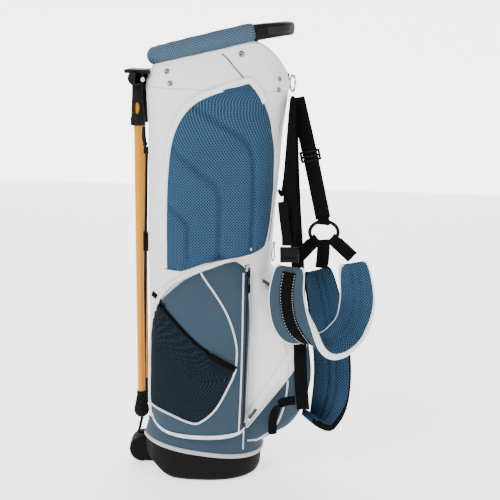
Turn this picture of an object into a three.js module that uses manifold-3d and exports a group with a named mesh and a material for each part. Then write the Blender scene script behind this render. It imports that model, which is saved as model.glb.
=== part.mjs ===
// Golf stand bag, built as separate named sub-parts. Millimetres, +Z up.
// The near side of the bag faces -Y, the folding legs are at -X and the spine with its harness at +X.
// The origin is the centre of the flat bottom of the boot.
import * as THREE from 'three';
import { mergeVertices } from 'three/addons/utils/BufferGeometryUtils.js';
import Module from 'manifold-3d';

const wasm = await Module();
wasm.setup();

// ---- Driving dimensions -------------------------------------------------------------------------

const GAP = 0.35;             // air left between two pieces that touch
const ROUNDNESS = 2.4;        // exponent of the rounded-oval plan of the bag
const WALL = 3;               // fabric and lining of the tube

// Plan of the bag at several heights: centre and half sizes of the oval, and the flat on the leg side.
const PLAN_STEPS = 40;
const BODY_LEVELS = [
  { z: 30, centre: 6, halfWidth: 121, halfDepth: 107, legFlat: -112 },
  { z: 76, centre: 6, halfWidth: 121, halfDepth: 107, legFlat: -110 },
  { z: 112, centre: 6, halfWidth: 121, halfDepth: 107, legFlat: -101 },
  { z: 330, centre: 8, halfWidth: 121, halfDepth: 107, legFlat: -101 },
  { z: 450, centre: 9, halfWidth: 121, halfDepth: 107, legFlat: -109 },
  { z: 700, centre: 14, halfWidth: 129, halfDepth: 108, legFlat: -113 },
  { z: 780, centre: 15, halfWidth: 136, halfDepth: 109, legFlat: -118 },
];
const TUBE_TOP = 780;
const LEVELS = [40, 112, 220, 330, 450, 575, 700, TUBE_TOP];
const BOOT_FLOOR = 8;
const BOOT_WALL = 3.5;
const BOOT_EDGE = { height: 61, slope: -0.12 };      // the boot is deeper on the leg side
const BEVEL = { start: -46, angle: 32 };             // underside cut back for the pedal
const BAY = { depth: -72, halfWidth: 32, top: 92, wall: 3 };

const RIM = { centre: 21, halfWidth: 128, halfDepth: 92, height: 866, slope: 0.27 };
const SLEEVE_RADIUS = 17;
const HANDLE_ANGLE = 66;      // the carry bar spans this far either side of the spine
const HANDLE = { height: 886, rise: 0.17 };
const COLLAR_DIP = { start: 75, height: 869, fall: 0.0108 };
const HOOP = { centre: 21, halfWidth: 84, halfDepth: 70, thickness: 6, height: 24 };
const DIVIDER = { thickness: 9, height: 16 };

const LEG = {
  pivot: new THREE.Vector3(-137, -40, 793),
  end: new THREE.Vector3(-121, -40, 110),
  splay: 30,                  // the swing plane is turned this far from straight out
  tubeRadius: 7.5,
};
const ROD = { x: -121, radius: 3, top: 646, bend: 104, foot: new THREE.Vector3(-131, 0, 58) };
const ARM = { radius: 2.6, reach: new THREE.Vector3(-14, -40, 68) };
const PEDAL = { hinge: new THREE.Vector3(-44, 0, 8), halfWidth: 25, thickness: 5 };
const BUMPER = { centre: new THREE.Vector3(-120, 0, 30), radius: 28 };
const PIN_HOLE_RADIUS = 2.9;

// ---- Materials ----------------------------------------------------------------------------------

function material(color, roughness, metalness = 0) {
  return new THREE.MeshStandardMaterial({ color, roughness, metalness });
}

const WHITE_FABRIC = material(0xd9d8d6, 0.75);
const SLATE_FABRIC = material(0x42566b, 0.8);
const BLUE_MESH = material(0x4f7ca3, 0.9);
const DARK_MESH = material(0x20262c, 0.9);
const BLACK_WEBBING = material(0x101010, 0.85);
const BLACK_PLASTIC = material(0x141414, 0.5);
const RUBBER = material(0x0c0c0c, 0.8);
const YELLOW_TUBE = material(0xe8a020, 0.35);
const STEEL = material(0xc8c8c8, 0.25, 1);
const GREY_PIPING = material(0x9c9a98, 0.7);
const DARK_LINING = material(0x2a2a2c, 0.9);
const GLASS_FIBRE = material(0xb8b8b0, 0.5);

// ---- General helpers ----------------------------------------------------------------------------

const group = new THREE.Group();

function add(name, geometry, surface) {
  const mesh = new THREE.Mesh(geometry, surface);
  mesh.name = name;
  group.add(mesh);
  return mesh;
}

function vec(x, y, z) {
  return new THREE.Vector3(x, y, z);
}

function mirrored(point) {
  return vec(point.x, -point.y, point.z);
}

function radians(degrees) {
  return (degrees * Math.PI) / 180;
}

function signedVolume(positions, indices) {
  const a = vec(0, 0, 0);
  const b = vec(0, 0, 0);
  const c = vec(0, 0, 0);
  let volume = 0;
  for (let i = 0; i < indices.length; i += 3) {
    a.fromArray(positions, indices[i] * 3);
    b.fromArray(positions, indices[i + 1] * 3);
    c.fromArray(positions, indices[i + 2] * 3);
    volume += a.dot(b.cross(c)) / 6;
  }
  return volume;
}

// Indexed geometry with its faces turned outwards.
function closedGeometry(points, indices) {
  const positions = points.flatMap((point) => point.toArray());
  if (signedVolume(positions, indices) < 0) {
    indices.reverse();
  }
  const geometry = new THREE.BufferGeometry();
  geometry.setAttribute('position', new THREE.Float32BufferAttribute(positions, 3));
  geometry.setIndex(indices);
  geometry.computeVertexNormals();
  return geometry;
}

// Solid between an inner and an outer surface, both given as functions of u and v from 0 to 1.
function patchSolid(inner, outer, stepsU, stepsV, closed = false) {
  const columns = closed ? stepsU : stepsU + 1;
  const rows = stepsV + 1;
  const points = [];
  for (const surface of [outer, inner]) {
    for (let j = 0; j < rows; j += 1) {
      for (let i = 0; i < columns; i += 1) {
        points.push(surface(i / stepsU, j / stepsV));
      }
    }
  }
  const indices = [];
  const at = (side, i, j) => side * rows * columns + j * columns + (i % columns);
  const quad = (a, b, c, d) => indices.push(a, b, c, a, c, d);
  for (let i = 0; i < stepsU; i += 1) {
    for (let j = 0; j < stepsV; j += 1) {
      quad(at(0, i, j), at(0, i + 1, j), at(0, i + 1, j + 1), at(0, i, j + 1));
      quad(at(1, i, j), at(1, i, j + 1), at(1, i + 1, j + 1), at(1, i + 1, j));
    }
    quad(at(0, i, 0), at(1, i, 0), at(1, i + 1, 0), at(0, i + 1, 0));
    quad(at(0, i, stepsV), at(0, i + 1, stepsV), at(1, i + 1, stepsV), at(1, i, stepsV));
  }
  if (!closed) {
    for (let j = 0; j < stepsV; j += 1) {
      quad(at(0, 0, j), at(0, 0, j + 1), at(1, 0, j + 1), at(1, 0, j));
      quad(at(0, stepsU, j), at(1, stepsU, j), at(1, stepsU, j + 1), at(0, stepsU, j + 1));
    }
  }
  return closedGeometry(points, indices);
}

// Rounded section swept along a curve. widthAt gives the direction of the section's width.
function sweep(curve, options) {
  const { steps, sides = 8, closed = false, exponent = 2, widthAt, halfWidth, halfThickness } = options;
  const rings = closed ? steps : steps + 1;
  const points = [];
  for (let i = 0; i < rings; i += 1) {
    const t = i / steps;
    const centre = curve.getPoint(t);
    const tangent = curve.getTangent(t).normalize();
    const width = widthAt(t).clone();
    width.addScaledVector(tangent, -width.dot(tangent)).normalize();
    const thickness = tangent.clone().cross(width);
    for (let k = 0; k < sides; k += 1) {
      const angle = ((k + 0.5) / sides) * 2 * Math.PI;
      const across = power(Math.cos(angle), 2 / exponent) * valueAt(halfWidth, t);
      const through = power(Math.sin(angle), 2 / exponent) * valueAt(halfThickness, t);
      points.push(centre.clone().addScaledVector(width, across).addScaledVector(thickness, through));
    }
  }
  const indices = [];
  const at = (i, k) => (i % rings) * sides + (k % sides);
  for (let i = 0; i < steps; i += 1) {
    for (let k = 0; k < sides; k += 1) {
      indices.push(at(i, k), at(i + 1, k), at(i + 1, k + 1), at(i, k), at(i + 1, k + 1), at(i, k + 1));
    }
  }
  if (!closed) {
    for (let k = 1; k < sides - 1; k += 1) {
      indices.push(at(0, 0), at(0, k), at(0, k + 1));
      indices.push(at(steps, 0), at(steps, k + 1), at(steps, k));
    }
  }
  return closedGeometry(points, indices);
}

function power(value, exponent) {
  return Math.sign(value) * Math.abs(value) ** exponent;
}

function valueAt(value, t) {
  return typeof value === 'function' ? value(t) : value;
}

function smoothCurve(points, closed = false) {
  return new THREE.CatmullRomCurve3(points, closed, 'centripetal');
}

// Curve made from a function of t, so that rings and rims can be swept too.
class FunctionCurve extends THREE.Curve {
  constructor(pointAt) {
    super();
    this.pointAt = pointAt;
  }

  getPoint(t) {
    return this.pointAt(t);
  }
}

function interpolate(rows, key, at, value) {
  if (value <= rows[0][key]) {
    return rows[0][at];
  }
  for (let i = 1; i < rows.length; i += 1) {
    if (value <= rows[i][key]) {
      const part = (value - rows[i - 1][key]) / (rows[i][key] - rows[i - 1][key]);
      return THREE.MathUtils.lerp(rows[i - 1][at], rows[i][at], part);
    }
  }
  return rows[rows.length - 1][at];
}

function boxBetween(low, high) {
  const size = high.clone().sub(low);
  const geometry = new THREE.BoxGeometry(size.x, size.y, size.z);
  const middle = low.clone().add(high).multiplyScalar(0.5);
  return geometry.translate(middle.x, middle.y, middle.z);
}

// Round bar between two points.
function bar(from, to, radius, sides = 12) {
  const length = from.distanceTo(to);
  const geometry = new THREE.CylinderGeometry(radius, radius, length, sides);
  return laidAlong(geometry, from, to);
}

// Turns a piece built along Y, with its middle at the origin, onto the line between two points.
function laidAlong(geometry, from, to) {
  const direction = to.clone().sub(from).normalize();
  const turn = new THREE.Quaternion().setFromUnitVectors(vec(0, 1, 0), direction);
  const middle = from.clone().add(to).multiplyScalar(0.5);
  return geometry.applyQuaternion(turn).translate(middle.x, middle.y, middle.z);
}

// Square bar of a given width and thickness between two points.
function barBox(from, to, width, thickness, widthDirection) {
  return sweep(new THREE.LineCurve3(from.clone(), to.clone()), {
    steps: 1,
    sides: 4,
    exponent: 1,
    widthAt: () => widthDirection,
    halfWidth: width,
    halfThickness: thickness,
  });
}

// Ring-shaped solid turned about an axis from its closed profile of radius and height.
function turned(profile, sides) {
  const points = profile.map(([radius, height]) => new THREE.Vector2(radius, height));
  return new THREE.LatheGeometry(points, sides);
}

function toSolid(geometry) {
  const clean = geometry.clone();
  clean.deleteAttribute('normal');
  clean.deleteAttribute('uv');
  const merged = mergeVertices(clean, 1e-4);
  const vertProperties = new Float32Array(merged.attributes.position.array);
  const triVerts = new Uint32Array(merged.index.array);
  return new wasm.Manifold(new wasm.Mesh({ numProp: 3, vertProperties, triVerts }));
}

function fromSolid(solid) {
  const mesh = solid.getMesh();
  const geometry = new THREE.BufferGeometry();
  geometry.setAttribute('position', new THREE.BufferAttribute(mesh.vertProperties, 3));
  geometry.setIndex(new THREE.BufferAttribute(mesh.triVerts, 1));
  geometry.computeVertexNormals();
  return geometry;
}

function cut(base, ...tools) {
  let solid = toSolid(base);
  for (const tool of tools) {
    solid = solid.subtract(toSolid(tool));
  }
  return fromSolid(solid);
}

function join(...pieces) {
  let solid = toSolid(pieces[0]);
  for (const piece of pieces.slice(1)) {
    solid = solid.add(toSolid(piece));
  }
  return fromSolid(solid);
}

// ---- The plan of the bag ------------------------------------------------------------------------

// Point on the bag's wall. The angle is 0 at the spine, 90 on the near side and 180 at the legs.
function bodyPoint(degrees, z, offset = 0) {
  const centre = interpolate(BODY_LEVELS, 'z', 'centre', z);
  const halfWidth = interpolate(BODY_LEVELS, 'z', 'halfWidth', z);
  const halfDepth = interpolate(BODY_LEVELS, 'z', 'halfDepth', z);
  const legFlat = interpolate(BODY_LEVELS, 'z', 'legFlat', z);
  const cos = Math.cos(radians(degrees));
  const sin = Math.sin(radians(degrees));
  const normal = vec(
    power(cos, 2 - 2 / ROUNDNESS) / halfWidth,
    -power(sin, 2 - 2 / ROUNDNESS) / halfDepth,
    0,
  ).normalize();
  const point = vec(
    centre + halfWidth * power(cos, 2 / ROUNDNESS),
    -halfDepth * power(sin, 2 / ROUNDNESS),
    z,
  ).addScaledVector(normal, offset);
  point.x = Math.max(point.x, legFlat - offset);
  return point;
}

function bootEdge(x) {
  return BOOT_EDGE.height + BOOT_EDGE.slope * x;
}

function rimPoint(degrees) {
  const x = RIM.centre + RIM.halfWidth * power(Math.cos(radians(degrees)), 2 / ROUNDNESS);
  const y = -RIM.halfDepth * power(Math.sin(radians(degrees)), 2 / ROUNDNESS);
  return vec(x, y, RIM.height + RIM.slope * x);
}

// The carry bar leaves the sleeve's plane and flattens out towards its tip.
function handlePoint(degrees) {
  const start = rimPoint(HANDLE_ANGLE).x;
  const point = rimPoint(degrees);
  point.z = HANDLE.height + (point.x - start) * HANDLE.rise;
  return point;
}

// ---- Boot and tube ------------------------------------------------------------------------------

// Upright prism of the bag's plan between two heights.
function planPrism(offset, low, high) {
  const plan = [];
  for (let i = 0; i < PLAN_STEPS; i += 1) {
    const point = bodyPoint((i / PLAN_STEPS) * 360, BODY_LEVELS[0].z, offset);
    plan.push(new THREE.Vector2(point.x, point.y));
  }
  const options = { depth: high - low, bevelEnabled: false };
  return new THREE.ExtrudeGeometry(new THREE.Shape(plan), options).translate(0, 0, low);
}

// Prism of an outline in X and Z, running from -halfWidth to halfWidth in Y.
function sidePrism(outline, halfWidth) {
  const shape = new THREE.Shape(outline.map(([x, z]) => new THREE.Vector2(x, z)));
  const geometry = new THREE.ExtrudeGeometry(shape, { depth: 2 * halfWidth, bevelEnabled: false });
  return geometry.rotateX(Math.PI / 2).translate(0, halfWidth, 0);
}

function makeBoot() {
  const rise = Math.tan(radians(BEVEL.angle));
  const outside = -160;
  const bevel = (x, lift) => (BEVEL.start - x) * rise + lift;
  const bevelBlock = (lift) => sidePrism([
    [BEVEL.start, -1],
    [BEVEL.start, lift],
    [outside, bevel(outside, lift)],
    [outside, -1],
  ], 130);
  const hollow = cut(planPrism(-BOOT_WALL, BOOT_FLOOR, 90), bevelBlock(BOOT_FLOOR));
  const above = sidePrism([
    [-200, bootEdge(-200) - GAP],
    [200, bootEdge(200) - GAP],
    [200, 120],
    [-200, 120],
  ], 130);
  const shell = cut(planPrism(0, 0, 85), hollow, above);
  const block = BAY.halfWidth + BAY.wall;
  const bayWalls = boxBetween(vec(-109, -block, 10), vec(BAY.depth + BAY.wall, block, BAY.top + BAY.wall));
  const hingeWalls = boxBetween(vec(BAY.depth, -block, 1), vec(PEDAL.hinge.x + 12, block, 36));
  const bayRoom = boxBetween(vec(outside, -BAY.halfWidth, -1), vec(BAY.depth, BAY.halfWidth, BAY.top));
  const pedalRoom = sidePrism([
    [PEDAL.hinge.x + 8, -1],
    [PEDAL.hinge.x + 8, 14],
    [BAY.depth - 1, 32],
    [BAY.depth - 1, -1],
  ], BAY.halfWidth);
  return cut(join(shell, bayWalls, hingeWalls), bevelBlock(0), bayRoom, pedalRoom);
}

function makeBasePiping() {
  const startAngle = 198;
  const curve = new FunctionCurve((t) => {
    const degrees = startAngle + t * (360 - 2 * (startAngle - 180));
    const point = bodyPoint(degrees, 76, 3.2);
    point.z = bootEdge(point.x) + 1;
    return point;
  });
  return sweep(curve, {
    steps: 44,
    sides: 6,
    widthAt: () => vec(0, 0, 1),
    halfWidth: 3,
    halfThickness: 2.6,
  });
}

// One quarter of the fabric tube, between two angles.
function makePanel(fromDegrees, toDegrees, steps) {
  const surface = (offset) => (u, v) => {
    const degrees = THREE.MathUtils.lerp(fromDegrees, toDegrees, u);
    const foot = bodyPoint(degrees, 76, offset);
    const low = bootEdge(foot.x) + GAP;
    const z = v === 0 ? low : LEVELS[Math.round(v * 7)];
    return bodyPoint(degrees, z, offset);
  };
  return patchSolid(surface(-WALL), surface(0), steps, 7);
}

function makeLegPanel() {
  const opening = boxBetween(
    vec(-140, -BAY.halfWidth - BAY.wall - GAP, 0),
    vec(-60, BAY.halfWidth + BAY.wall + GAP, BAY.top + BAY.wall + GAP),
  );
  return cut(makePanel(130.2, 229.8, 8), opening);
}

// ---- Collar -------------------------------------------------------------------------------------

// Top edge of the collar: under the sleeve, then dipping away below the carry bar.
function collarEdge(point) {
  const underSleeve = RIM.height + RIM.slope * point.x - SLEEVE_RADIUS - GAP;
  const underHandle = COLLAR_DIP.height - COLLAR_DIP.fall * Math.max(point.x - COLLAR_DIP.start, 0) ** 2;
  return Math.min(underSleeve, underHandle);
}

function makeCollarWall() {
  const surface = (offset) => (u, v) => {
    const foot = bodyPoint(u * 360, TUBE_TOP, offset);
    foot.z = TUBE_TOP + GAP;
    const head = rimPoint(u * 360);
    const inward = vec(RIM.centre - head.x, -head.y, 0).normalize();
    head.addScaledVector(inward, -offset);
    head.z = collarEdge(rimPoint(u * 360));
    return foot.lerp(head, v);
  };
  return patchSolid(surface(-WALL), surface(0), 48, 2, true);
}

function makeSleeve(growth = 0) {
  const startAngle = HANDLE_ANGLE + 0.4 - growth / 2;
  const curve = new FunctionCurve((t) => rimPoint(startAngle + t * (360 - 2 * startAngle)));
  return sweep(curve, {
    steps: 40,
    sides: 10,
    widthAt: () => vec(0, 0, 1),
    halfWidth: SLEEVE_RADIUS + growth,
    halfThickness: SLEEVE_RADIUS - 2 + growth,
  });
}

function hoopPoint(u, offset) {
  const cos = Math.cos(u * 2 * Math.PI);
  const sin = Math.sin(u * 2 * Math.PI);
  const x = HOOP.centre + (HOOP.halfWidth + offset) * power(cos, 2 / ROUNDNESS);
  const y = -(HOOP.halfDepth + offset) * power(sin, 2 / ROUNDNESS);
  return vec(x, y, RIM.height + RIM.slope * x);
}

// Moulded frame: the mouth hoop and the carry bar in one piece.
function makeCollarFrame() {
  const half = HOOP.thickness / 2;
  const surface = (offset) => (u, v) => {
    const point = hoopPoint(u, offset);
    point.z += (v - 0.5) * HOOP.height;
    return point;
  };
  const hoop = patchSolid(surface(-half), surface(half), 36, 1, true);
  const curve = new FunctionCurve((t) => handlePoint(HANDLE_ANGLE - 2 * HANDLE_ANGLE * t));
  const root = (t) => Math.abs(2 * t - 1);
  const handle = sweep(curve, {
    steps: 24,
    sides: 10,
    widthAt: () => vec(0, 0, 1),
    halfWidth: (t) => 13.5 + 2 * root(t) ** 2,
    halfThickness: (t) => 12.4 - 1.4 * root(t),
  });
  const shoulders = [-1, 1].map((side) => {
    const geometry = new THREE.BoxGeometry(15, 48, 14);
    return geometry.translate(98, side * 58, 888);
  });
  return cut(join(hoop, handle, ...shoulders), makeSleeve(GAP));
}

// Padded cross that splits the mouth into four.
function makeDividerCross() {
  const reach = HOOP.halfWidth - HOOP.thickness / 2 - GAP;
  const lean = Math.atan(RIM.slope);
  const along = new THREE.BoxGeometry(2 * reach * 1.03, DIVIDER.thickness, DIVIDER.height);
  const depth = HOOP.halfDepth - HOOP.thickness / 2 - GAP;
  const across = new THREE.BoxGeometry(DIVIDER.thickness, 2 * depth, DIVIDER.height);
  const cross = join(along, across);
  cross.rotateY(-lean);
  const middle = RIM.height + RIM.slope * HOOP.centre;
  const inside = sweep(new THREE.LineCurve3(vec(0, 0, -200), vec(0, 0, 200)), {
    steps: 1,
    sides: 36,
    exponent: ROUNDNESS,
    widthAt: () => vec(1, 0, 0),
    halfWidth: reach,
    halfThickness: depth,
  });
  const trimmed = toSolid(cross).intersect(toSolid(inside));
  return fromSolid(trimmed).translate(HOOP.centre, 0, middle - 2);
}

// Fabric web that hangs from the cross to the floor and keeps the clubs apart.
function makeDividerSheet() {
  const under = (x) => RIM.height + RIM.slope * x - DIVIDER.height / 2 - 4;
  const floor = BOOT_FLOOR + GAP;
  const outline = [
    [-64, 38],
    [-28, 38],
    [-28, floor],
    [110, floor],
    [92, under(92)],
    [-48, under(-48)],
    [-64, 120],
  ];
  return sidePrism(outline, 0.8);
}

// Springy rod that holds the tube upright, sleeved against the inside of the wall.
function makeStay(degrees) {
  const levels = [66, 220, 400, 575, TUBE_TOP - 10];
  const curve = smoothCurve(levels.map((z) => bodyPoint(degrees, z, -9)));
  return sweep(curve, {
    steps: 12,
    sides: 8,
    widthAt: () => vec(0, 1, 0),
    halfWidth: 3.5,
    halfThickness: 3.5,
  });
}

// ---- Leg mechanism ------------------------------------------------------------------------------

function legLine(side, z) {
  const part = (LEG.pivot.z - z) / (LEG.pivot.z - LEG.end.z);
  const point = LEG.pivot.clone().lerp(LEG.end, part);
  return side < 0 ? point : mirrored(point);
}

function pivotAxis(side) {
  return vec(side * Math.sin(radians(LEG.splay)), Math.cos(radians(LEG.splay)), 0);
}

function makeBracket() {
  const plate = boxBetween(vec(-128, -24, 738), vec(-119.5, 24, 800));
  const roof = boxBetween(vec(-160, -62, 803.5), vec(-113, 62, 811));
  const spine = boxBetween(vec(-128, -24, 795), vec(-116, 24, 808));
  const cheeks = [-59, -20, 20, 59].map((y) => boxBetween(vec(-152, y - 3, 784), vec(-124, y + 3, 806)));
  const bores = [-1, 1].map((side) => {
    const pivot = legLine(side, LEG.pivot.z);
    const reach = pivotAxis(side).multiplyScalar(60);
    return bar(pivot.clone().sub(reach), pivot.clone().add(reach), PIN_HOLE_RADIUS, 10);
  });
  return cut(join(plate, roof, spine, ...cheeks), ...bores);
}

function makeBracketPin(side) {
  const pivot = legLine(side, LEG.pivot.z);
  const reach = pivotAxis(side).multiplyScalar(24);
  return bar(pivot.clone().sub(reach), pivot.clone().add(reach), 2.5, 10);
}

function makeSocket(side) {
  const top = legLine(side, 786);
  const foot = legLine(side, 705);
  const length = top.distanceTo(foot);
  const outer = new THREE.CylinderGeometry(14, 10, length, 14);
  const body = laidAlong(outer, top, foot);
  const pivot = legLine(side, LEG.pivot.z);
  const half = pivotAxis(side).multiplyScalar(8.5);
  const head = bar(pivot.clone().sub(half), pivot.clone().add(half), 8.5, 14);
  const boreTop = legLine(side, 768);
  const boreFoot = legLine(side, 690);
  const bore = bar(boreTop, boreFoot, LEG.tubeRadius + GAP, 16);
  const pinReach = pivotAxis(side).multiplyScalar(20);
  const pinHole = bar(pivot.clone().sub(pinReach), pivot.clone().add(pinReach), PIN_HOLE_RADIUS, 10);
  const windowMiddle = legLine(side, 738);
  const window = new THREE.CylinderGeometry(5, 5, 30, 14);
  window.scale(1, 1, 2.3).translate(windowMiddle.x, windowMiddle.y + side * 18, windowMiddle.z);
  return cut(join(body, head), bore, pinHole, window);
}

function makeLegTube(side) {
  return bar(legLine(side, 766), legLine(side, 158), LEG.tubeRadius, 14);
}

function makeFoot(side) {
  const top = legLine(side, 166);
  const end = legLine(side, 110);
  const profile = [
    [0, -28],
    [8, -27],
    [14, -22],
    [15.5, -14],
    [13.5, -2],
    [10.5, 12],
    [9.5, 28],
    [7.9, 28],
    [7.9, 19],
    [0, 19],
  ];
  return laidAlong(turned(profile, 14), end, top);
}

function makeActuatorRod() {
  const curve = smoothCurve([
    vec(ROD.x, 0, ROD.top),
    vec(ROD.x, 0, 400),
    vec(ROD.x, 0, ROD.bend + 20),
    vec(ROD.x - 1, 0, ROD.bend),
    ROD.foot,
  ]);
  return sweep(curve, {
    steps: 16,
    sides: 8,
    widthAt: () => vec(0, 1, 0),
    halfWidth: ROD.radius,
    halfThickness: ROD.radius,
  });
}

function makeRodJoiner() {
  return boxBetween(vec(ROD.x - 6, -7, ROD.top + GAP), vec(ROD.x + 5, 7, ROD.top + 14));
}

function makeYokeArm(side) {
  const reach = side < 0 ? ARM.reach.clone() : mirrored(ARM.reach);
  const start = vec(ROD.x, 0, ROD.top + 4);
  const direction = reach.clone().normalize();
  const from = start.clone().addScaledVector(direction, 17);
  const to = start.clone().add(reach).addScaledVector(direction, -26);
  return bar(from, to, ARM.radius, 8);
}

function makeRodGuide() {
  const block = boxBetween(vec(ROD.x - 8, -13, 451), vec(-110.2, 13, 488));
  return cut(block, bar(vec(ROD.x, 0, 440), vec(ROD.x, 0, 500), ROD.radius + 0.9, 12));
}

// Round bar across the bag on the pedal's hinge line.
function hingeBar(halfLength, radius, sides) {
  const { x, z } = PEDAL.hinge;
  return bar(vec(x, -halfLength, z), vec(x, halfLength, z), radius, sides);
}

function makePedal() {
  const low = PEDAL.hinge.z - 3;
  const plate = boxBetween(
    vec(BUMPER.centre.x + 4, -PEDAL.halfWidth, low),
    vec(PEDAL.hinge.x, PEDAL.halfWidth, low + PEDAL.thickness),
  );
  const barrel = hingeBar(PEDAL.halfWidth, 5, 12);
  return cut(join(plate, barrel), hingeBar(60, 2.3, 10));
}

// Round ribbed heel on the outer end of the pedal, notched where the plate and the rod go in.
function makeBumper() {
  const { centre, radius } = BUMPER;
  const near = vec(centre.x, -PEDAL.halfWidth, centre.z);
  const drum = bar(near, mirrored(near), radius, 24);
  const low = PEDAL.hinge.z - 3;
  const plateSlot = boxBetween(
    vec(centre.x + 4 - GAP, -40, low - GAP),
    vec(centre.x + 60, 40, low + PEDAL.thickness + GAP),
  );
  const below = boxBetween(vec(centre.x + 3, -40, -5), vec(centre.x + 60, 40, low));
  const rodRoom = boxBetween(
    vec(ROD.foot.x - 7, -6, ROD.foot.z - 4),
    vec(ROD.x + 12, 6, centre.z + radius + 5),
  );
  return cut(drum, plateSlot, below, rodRoom);
}

// ---- Pockets and pad ----------------------------------------------------------------------------

// Raised patch on the bag's wall. Its side edges are angles given at several heights.
function raisedPatch(rows, options) {
  const { thickness, stepsU = 12, stepsV = 10, edge = 2 } = options;
  const low = rows[0].z;
  const high = rows[rows.length - 1].z;
  const surface = (raised) => (u, v) => {
    const z = THREE.MathUtils.lerp(low, high, v);
    const left = interpolate(rows, 'z', 'left', z);
    const right = interpolate(rows, 'z', 'right', z);
    const degrees = THREE.MathUtils.lerp(left, right, u);
    const bulge = (1 - (2 * u - 1) ** 4) * (1 - (2 * v - 1) ** 6);
    const depth = edge + (valueAt(thickness, v) - edge) * Math.max(bulge, 0) ** 0.5;
    return bodyPoint(degrees, z, raised ? GAP + depth : -6);
  };
  return patchSolid(surface(false), surface(true), stepsU, stepsV);
}

const NEAR_POCKET_ROWS = [
  { z: 96, left: 102, right: 74 },
  { z: 108, left: 126, right: 56 },
  { z: 130, left: 138, right: 52 },
  { z: 170, left: 143, right: 52 },
  { z: 300, left: 143, right: 52 },
  { z: 364, left: 133, right: 53 },
  { z: 412, left: 110, right: 56 },
  { z: 444, left: 88, right: 60 },
  { z: 456, left: 78, right: 68 },
];
const MESH_POCKET_ROWS = [
  { z: 140, left: 120, right: 84 },
  { z: 160, left: 134, right: 76 },
  { z: 220, left: 138, right: 66 },
  { z: 290, left: 138, right: 62 },
  { z: 372, left: 127, right: 70 },
];
const FAR_POCKET_ROWS = NEAR_POCKET_ROWS.map(({ z, left, right }) => (
  { z, left: 360 - left, right: 360 - right }
));
const HIP_PAD_ROWS = [
  { z: 434, left: 129, right: 110 },
  { z: 452, left: 129, right: 92 },
  { z: 460, left: 129, right: 80 },
  { z: 470, left: 129, right: 52 },
  { z: 484, left: 129, right: 34 },
  { z: 580, left: 129, right: 27 },
  { z: 673, left: 126, right: 33 },
  { z: 720, left: 116, right: 42 },
  { z: 752, left: 106, right: 52 },
  { z: 776, left: 92, right: 60 },
];
const POCKET_DEPTH = 26;

function makeSidePocket(rows) {
  return cut(raisedPatch(rows, { thickness: POCKET_DEPTH }), CORE);
}

// Stretchy pouch on the face of the near pocket.
function makeMeshPocket() {
  const blank = raisedPatch(MESH_POCKET_ROWS, {
    thickness: POCKET_DEPTH + 9,
    stepsU: 8,
    stepsV: 8,
    edge: POCKET_DEPTH + 1,
  });
  const pocket = raisedPatch(NEAR_POCKET_ROWS, { thickness: POCKET_DEPTH });
  const towardsNear = pocket.clone().translate(0, -GAP, 0);
  const towardsLegs = pocket.clone().translate(-GAP, 0, 0);
  return cut(blank, pocket, towardsNear, towardsLegs, CORE);
}

function makeHipPad() {
  return cut(raisedPatch(HIP_PAD_ROWS, { thickness: 12, edge: 3 }), CORE);
}

const SPINE_POCKET_ROWS = [
  { z: 79, depth: 14 },
  { z: 110, depth: 66 },
  { z: 180, depth: 94 },
  { z: 255, depth: 92 },
  { z: 300, depth: 74 },
  { z: 387, depth: 34 },
  { z: 425, depth: 6 },
];
const SPINE_POCKET_LEVELS = [79, 92, 110, 145, 180, 218, 255, 300, 345, 387, 425];

function spineDepth(z) {
  return interpolate(SPINE_POCKET_ROWS, 'z', 'depth', z);
}

function spinePocketBlank() {
  const surface = (raised) => (u, v) => {
    const z = SPINE_POCKET_LEVELS[Math.round(v * 10)];
    const degrees = THREE.MathUtils.lerp(-50, 50, u);
    const bulge = Math.max(1 - (2 * u - 1) ** 4, 0) ** 0.6;
    const point = bodyPoint(degrees, z, raised ? GAP : -6);
    const depth = raised ? 1.5 + spineDepth(z) * bulge : 0;
    return point.add(vec(depth, -Math.sin(radians(degrees)) * 0.12 * depth, 0));
  };
  return patchSolid(surface(false), surface(true), 16, 10);
}

// The two spine pockets meet on a seam that climbs away from the bag.
function seamHeight(x) {
  return 108 + 1.36 * (x - 93);
}

function seamBlock(lift, above) {
  const far = above ? 900 : -600;
  return sidePrism([
    [-200, seamHeight(-200) + lift],
    [400, seamHeight(400) + lift],
    [400, far],
    [-200, far],
  ], 200);
}

function makeSpinePocketUpper() {
  return cut(spinePocketBlank(), seamBlock(GAP, false), CORE);
}

function makeSpinePocketLower() {
  return cut(spinePocketBlank(), seamBlock(0, true), CORE);
}

// Everything inside the outer face of the tube, used to trim what lies on the tube.
function tubeCore() {
  const ranges = [[50.2, 129.8, 12], [129.8, 230.2, 8], [230.2, 309.8, 12], [-50.2, 50.2, 10]];
  const blocks = ranges.map(([from, to, steps]) => {
    const surface = (offset) => (u, v) => {
      const degrees = THREE.MathUtils.lerp(from, to, u);
      return bodyPoint(degrees, LEVELS[Math.round(v * 7)], offset);
    };
    return patchSolid(surface(-40), surface(GAP), steps, 7);
  });
  return join(...blocks);
}

const CORE = tubeCore();

// ---- Zips ---------------------------------------------------------------------------------------

// Each zip lies along a straight chord; the slider sits at its start and the tab hangs from it.
const ZIPS = {
  side: { start: vec(84.5, -115, 447), along: vec(0, 0, -1), outward: vec(0.62, -0.78, 0), tab: 52 },
  upper: { start: vec(116, -88, 415), along: vec(0.84, 0, -0.54), outward: vec(0.3, -0.9, 0.3), tab: 18 },
  lower: { start: vec(98, -98, 140), along: vec(0.53, 0, 0.85), outward: vec(0.4, -0.92, 0), tab: 26 },
};

function makeSlider(zip) {
  const geometry = new THREE.BoxGeometry(9, 12, 4);
  return placedOnZip(geometry, zip, 0, 2.6);
}

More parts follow.
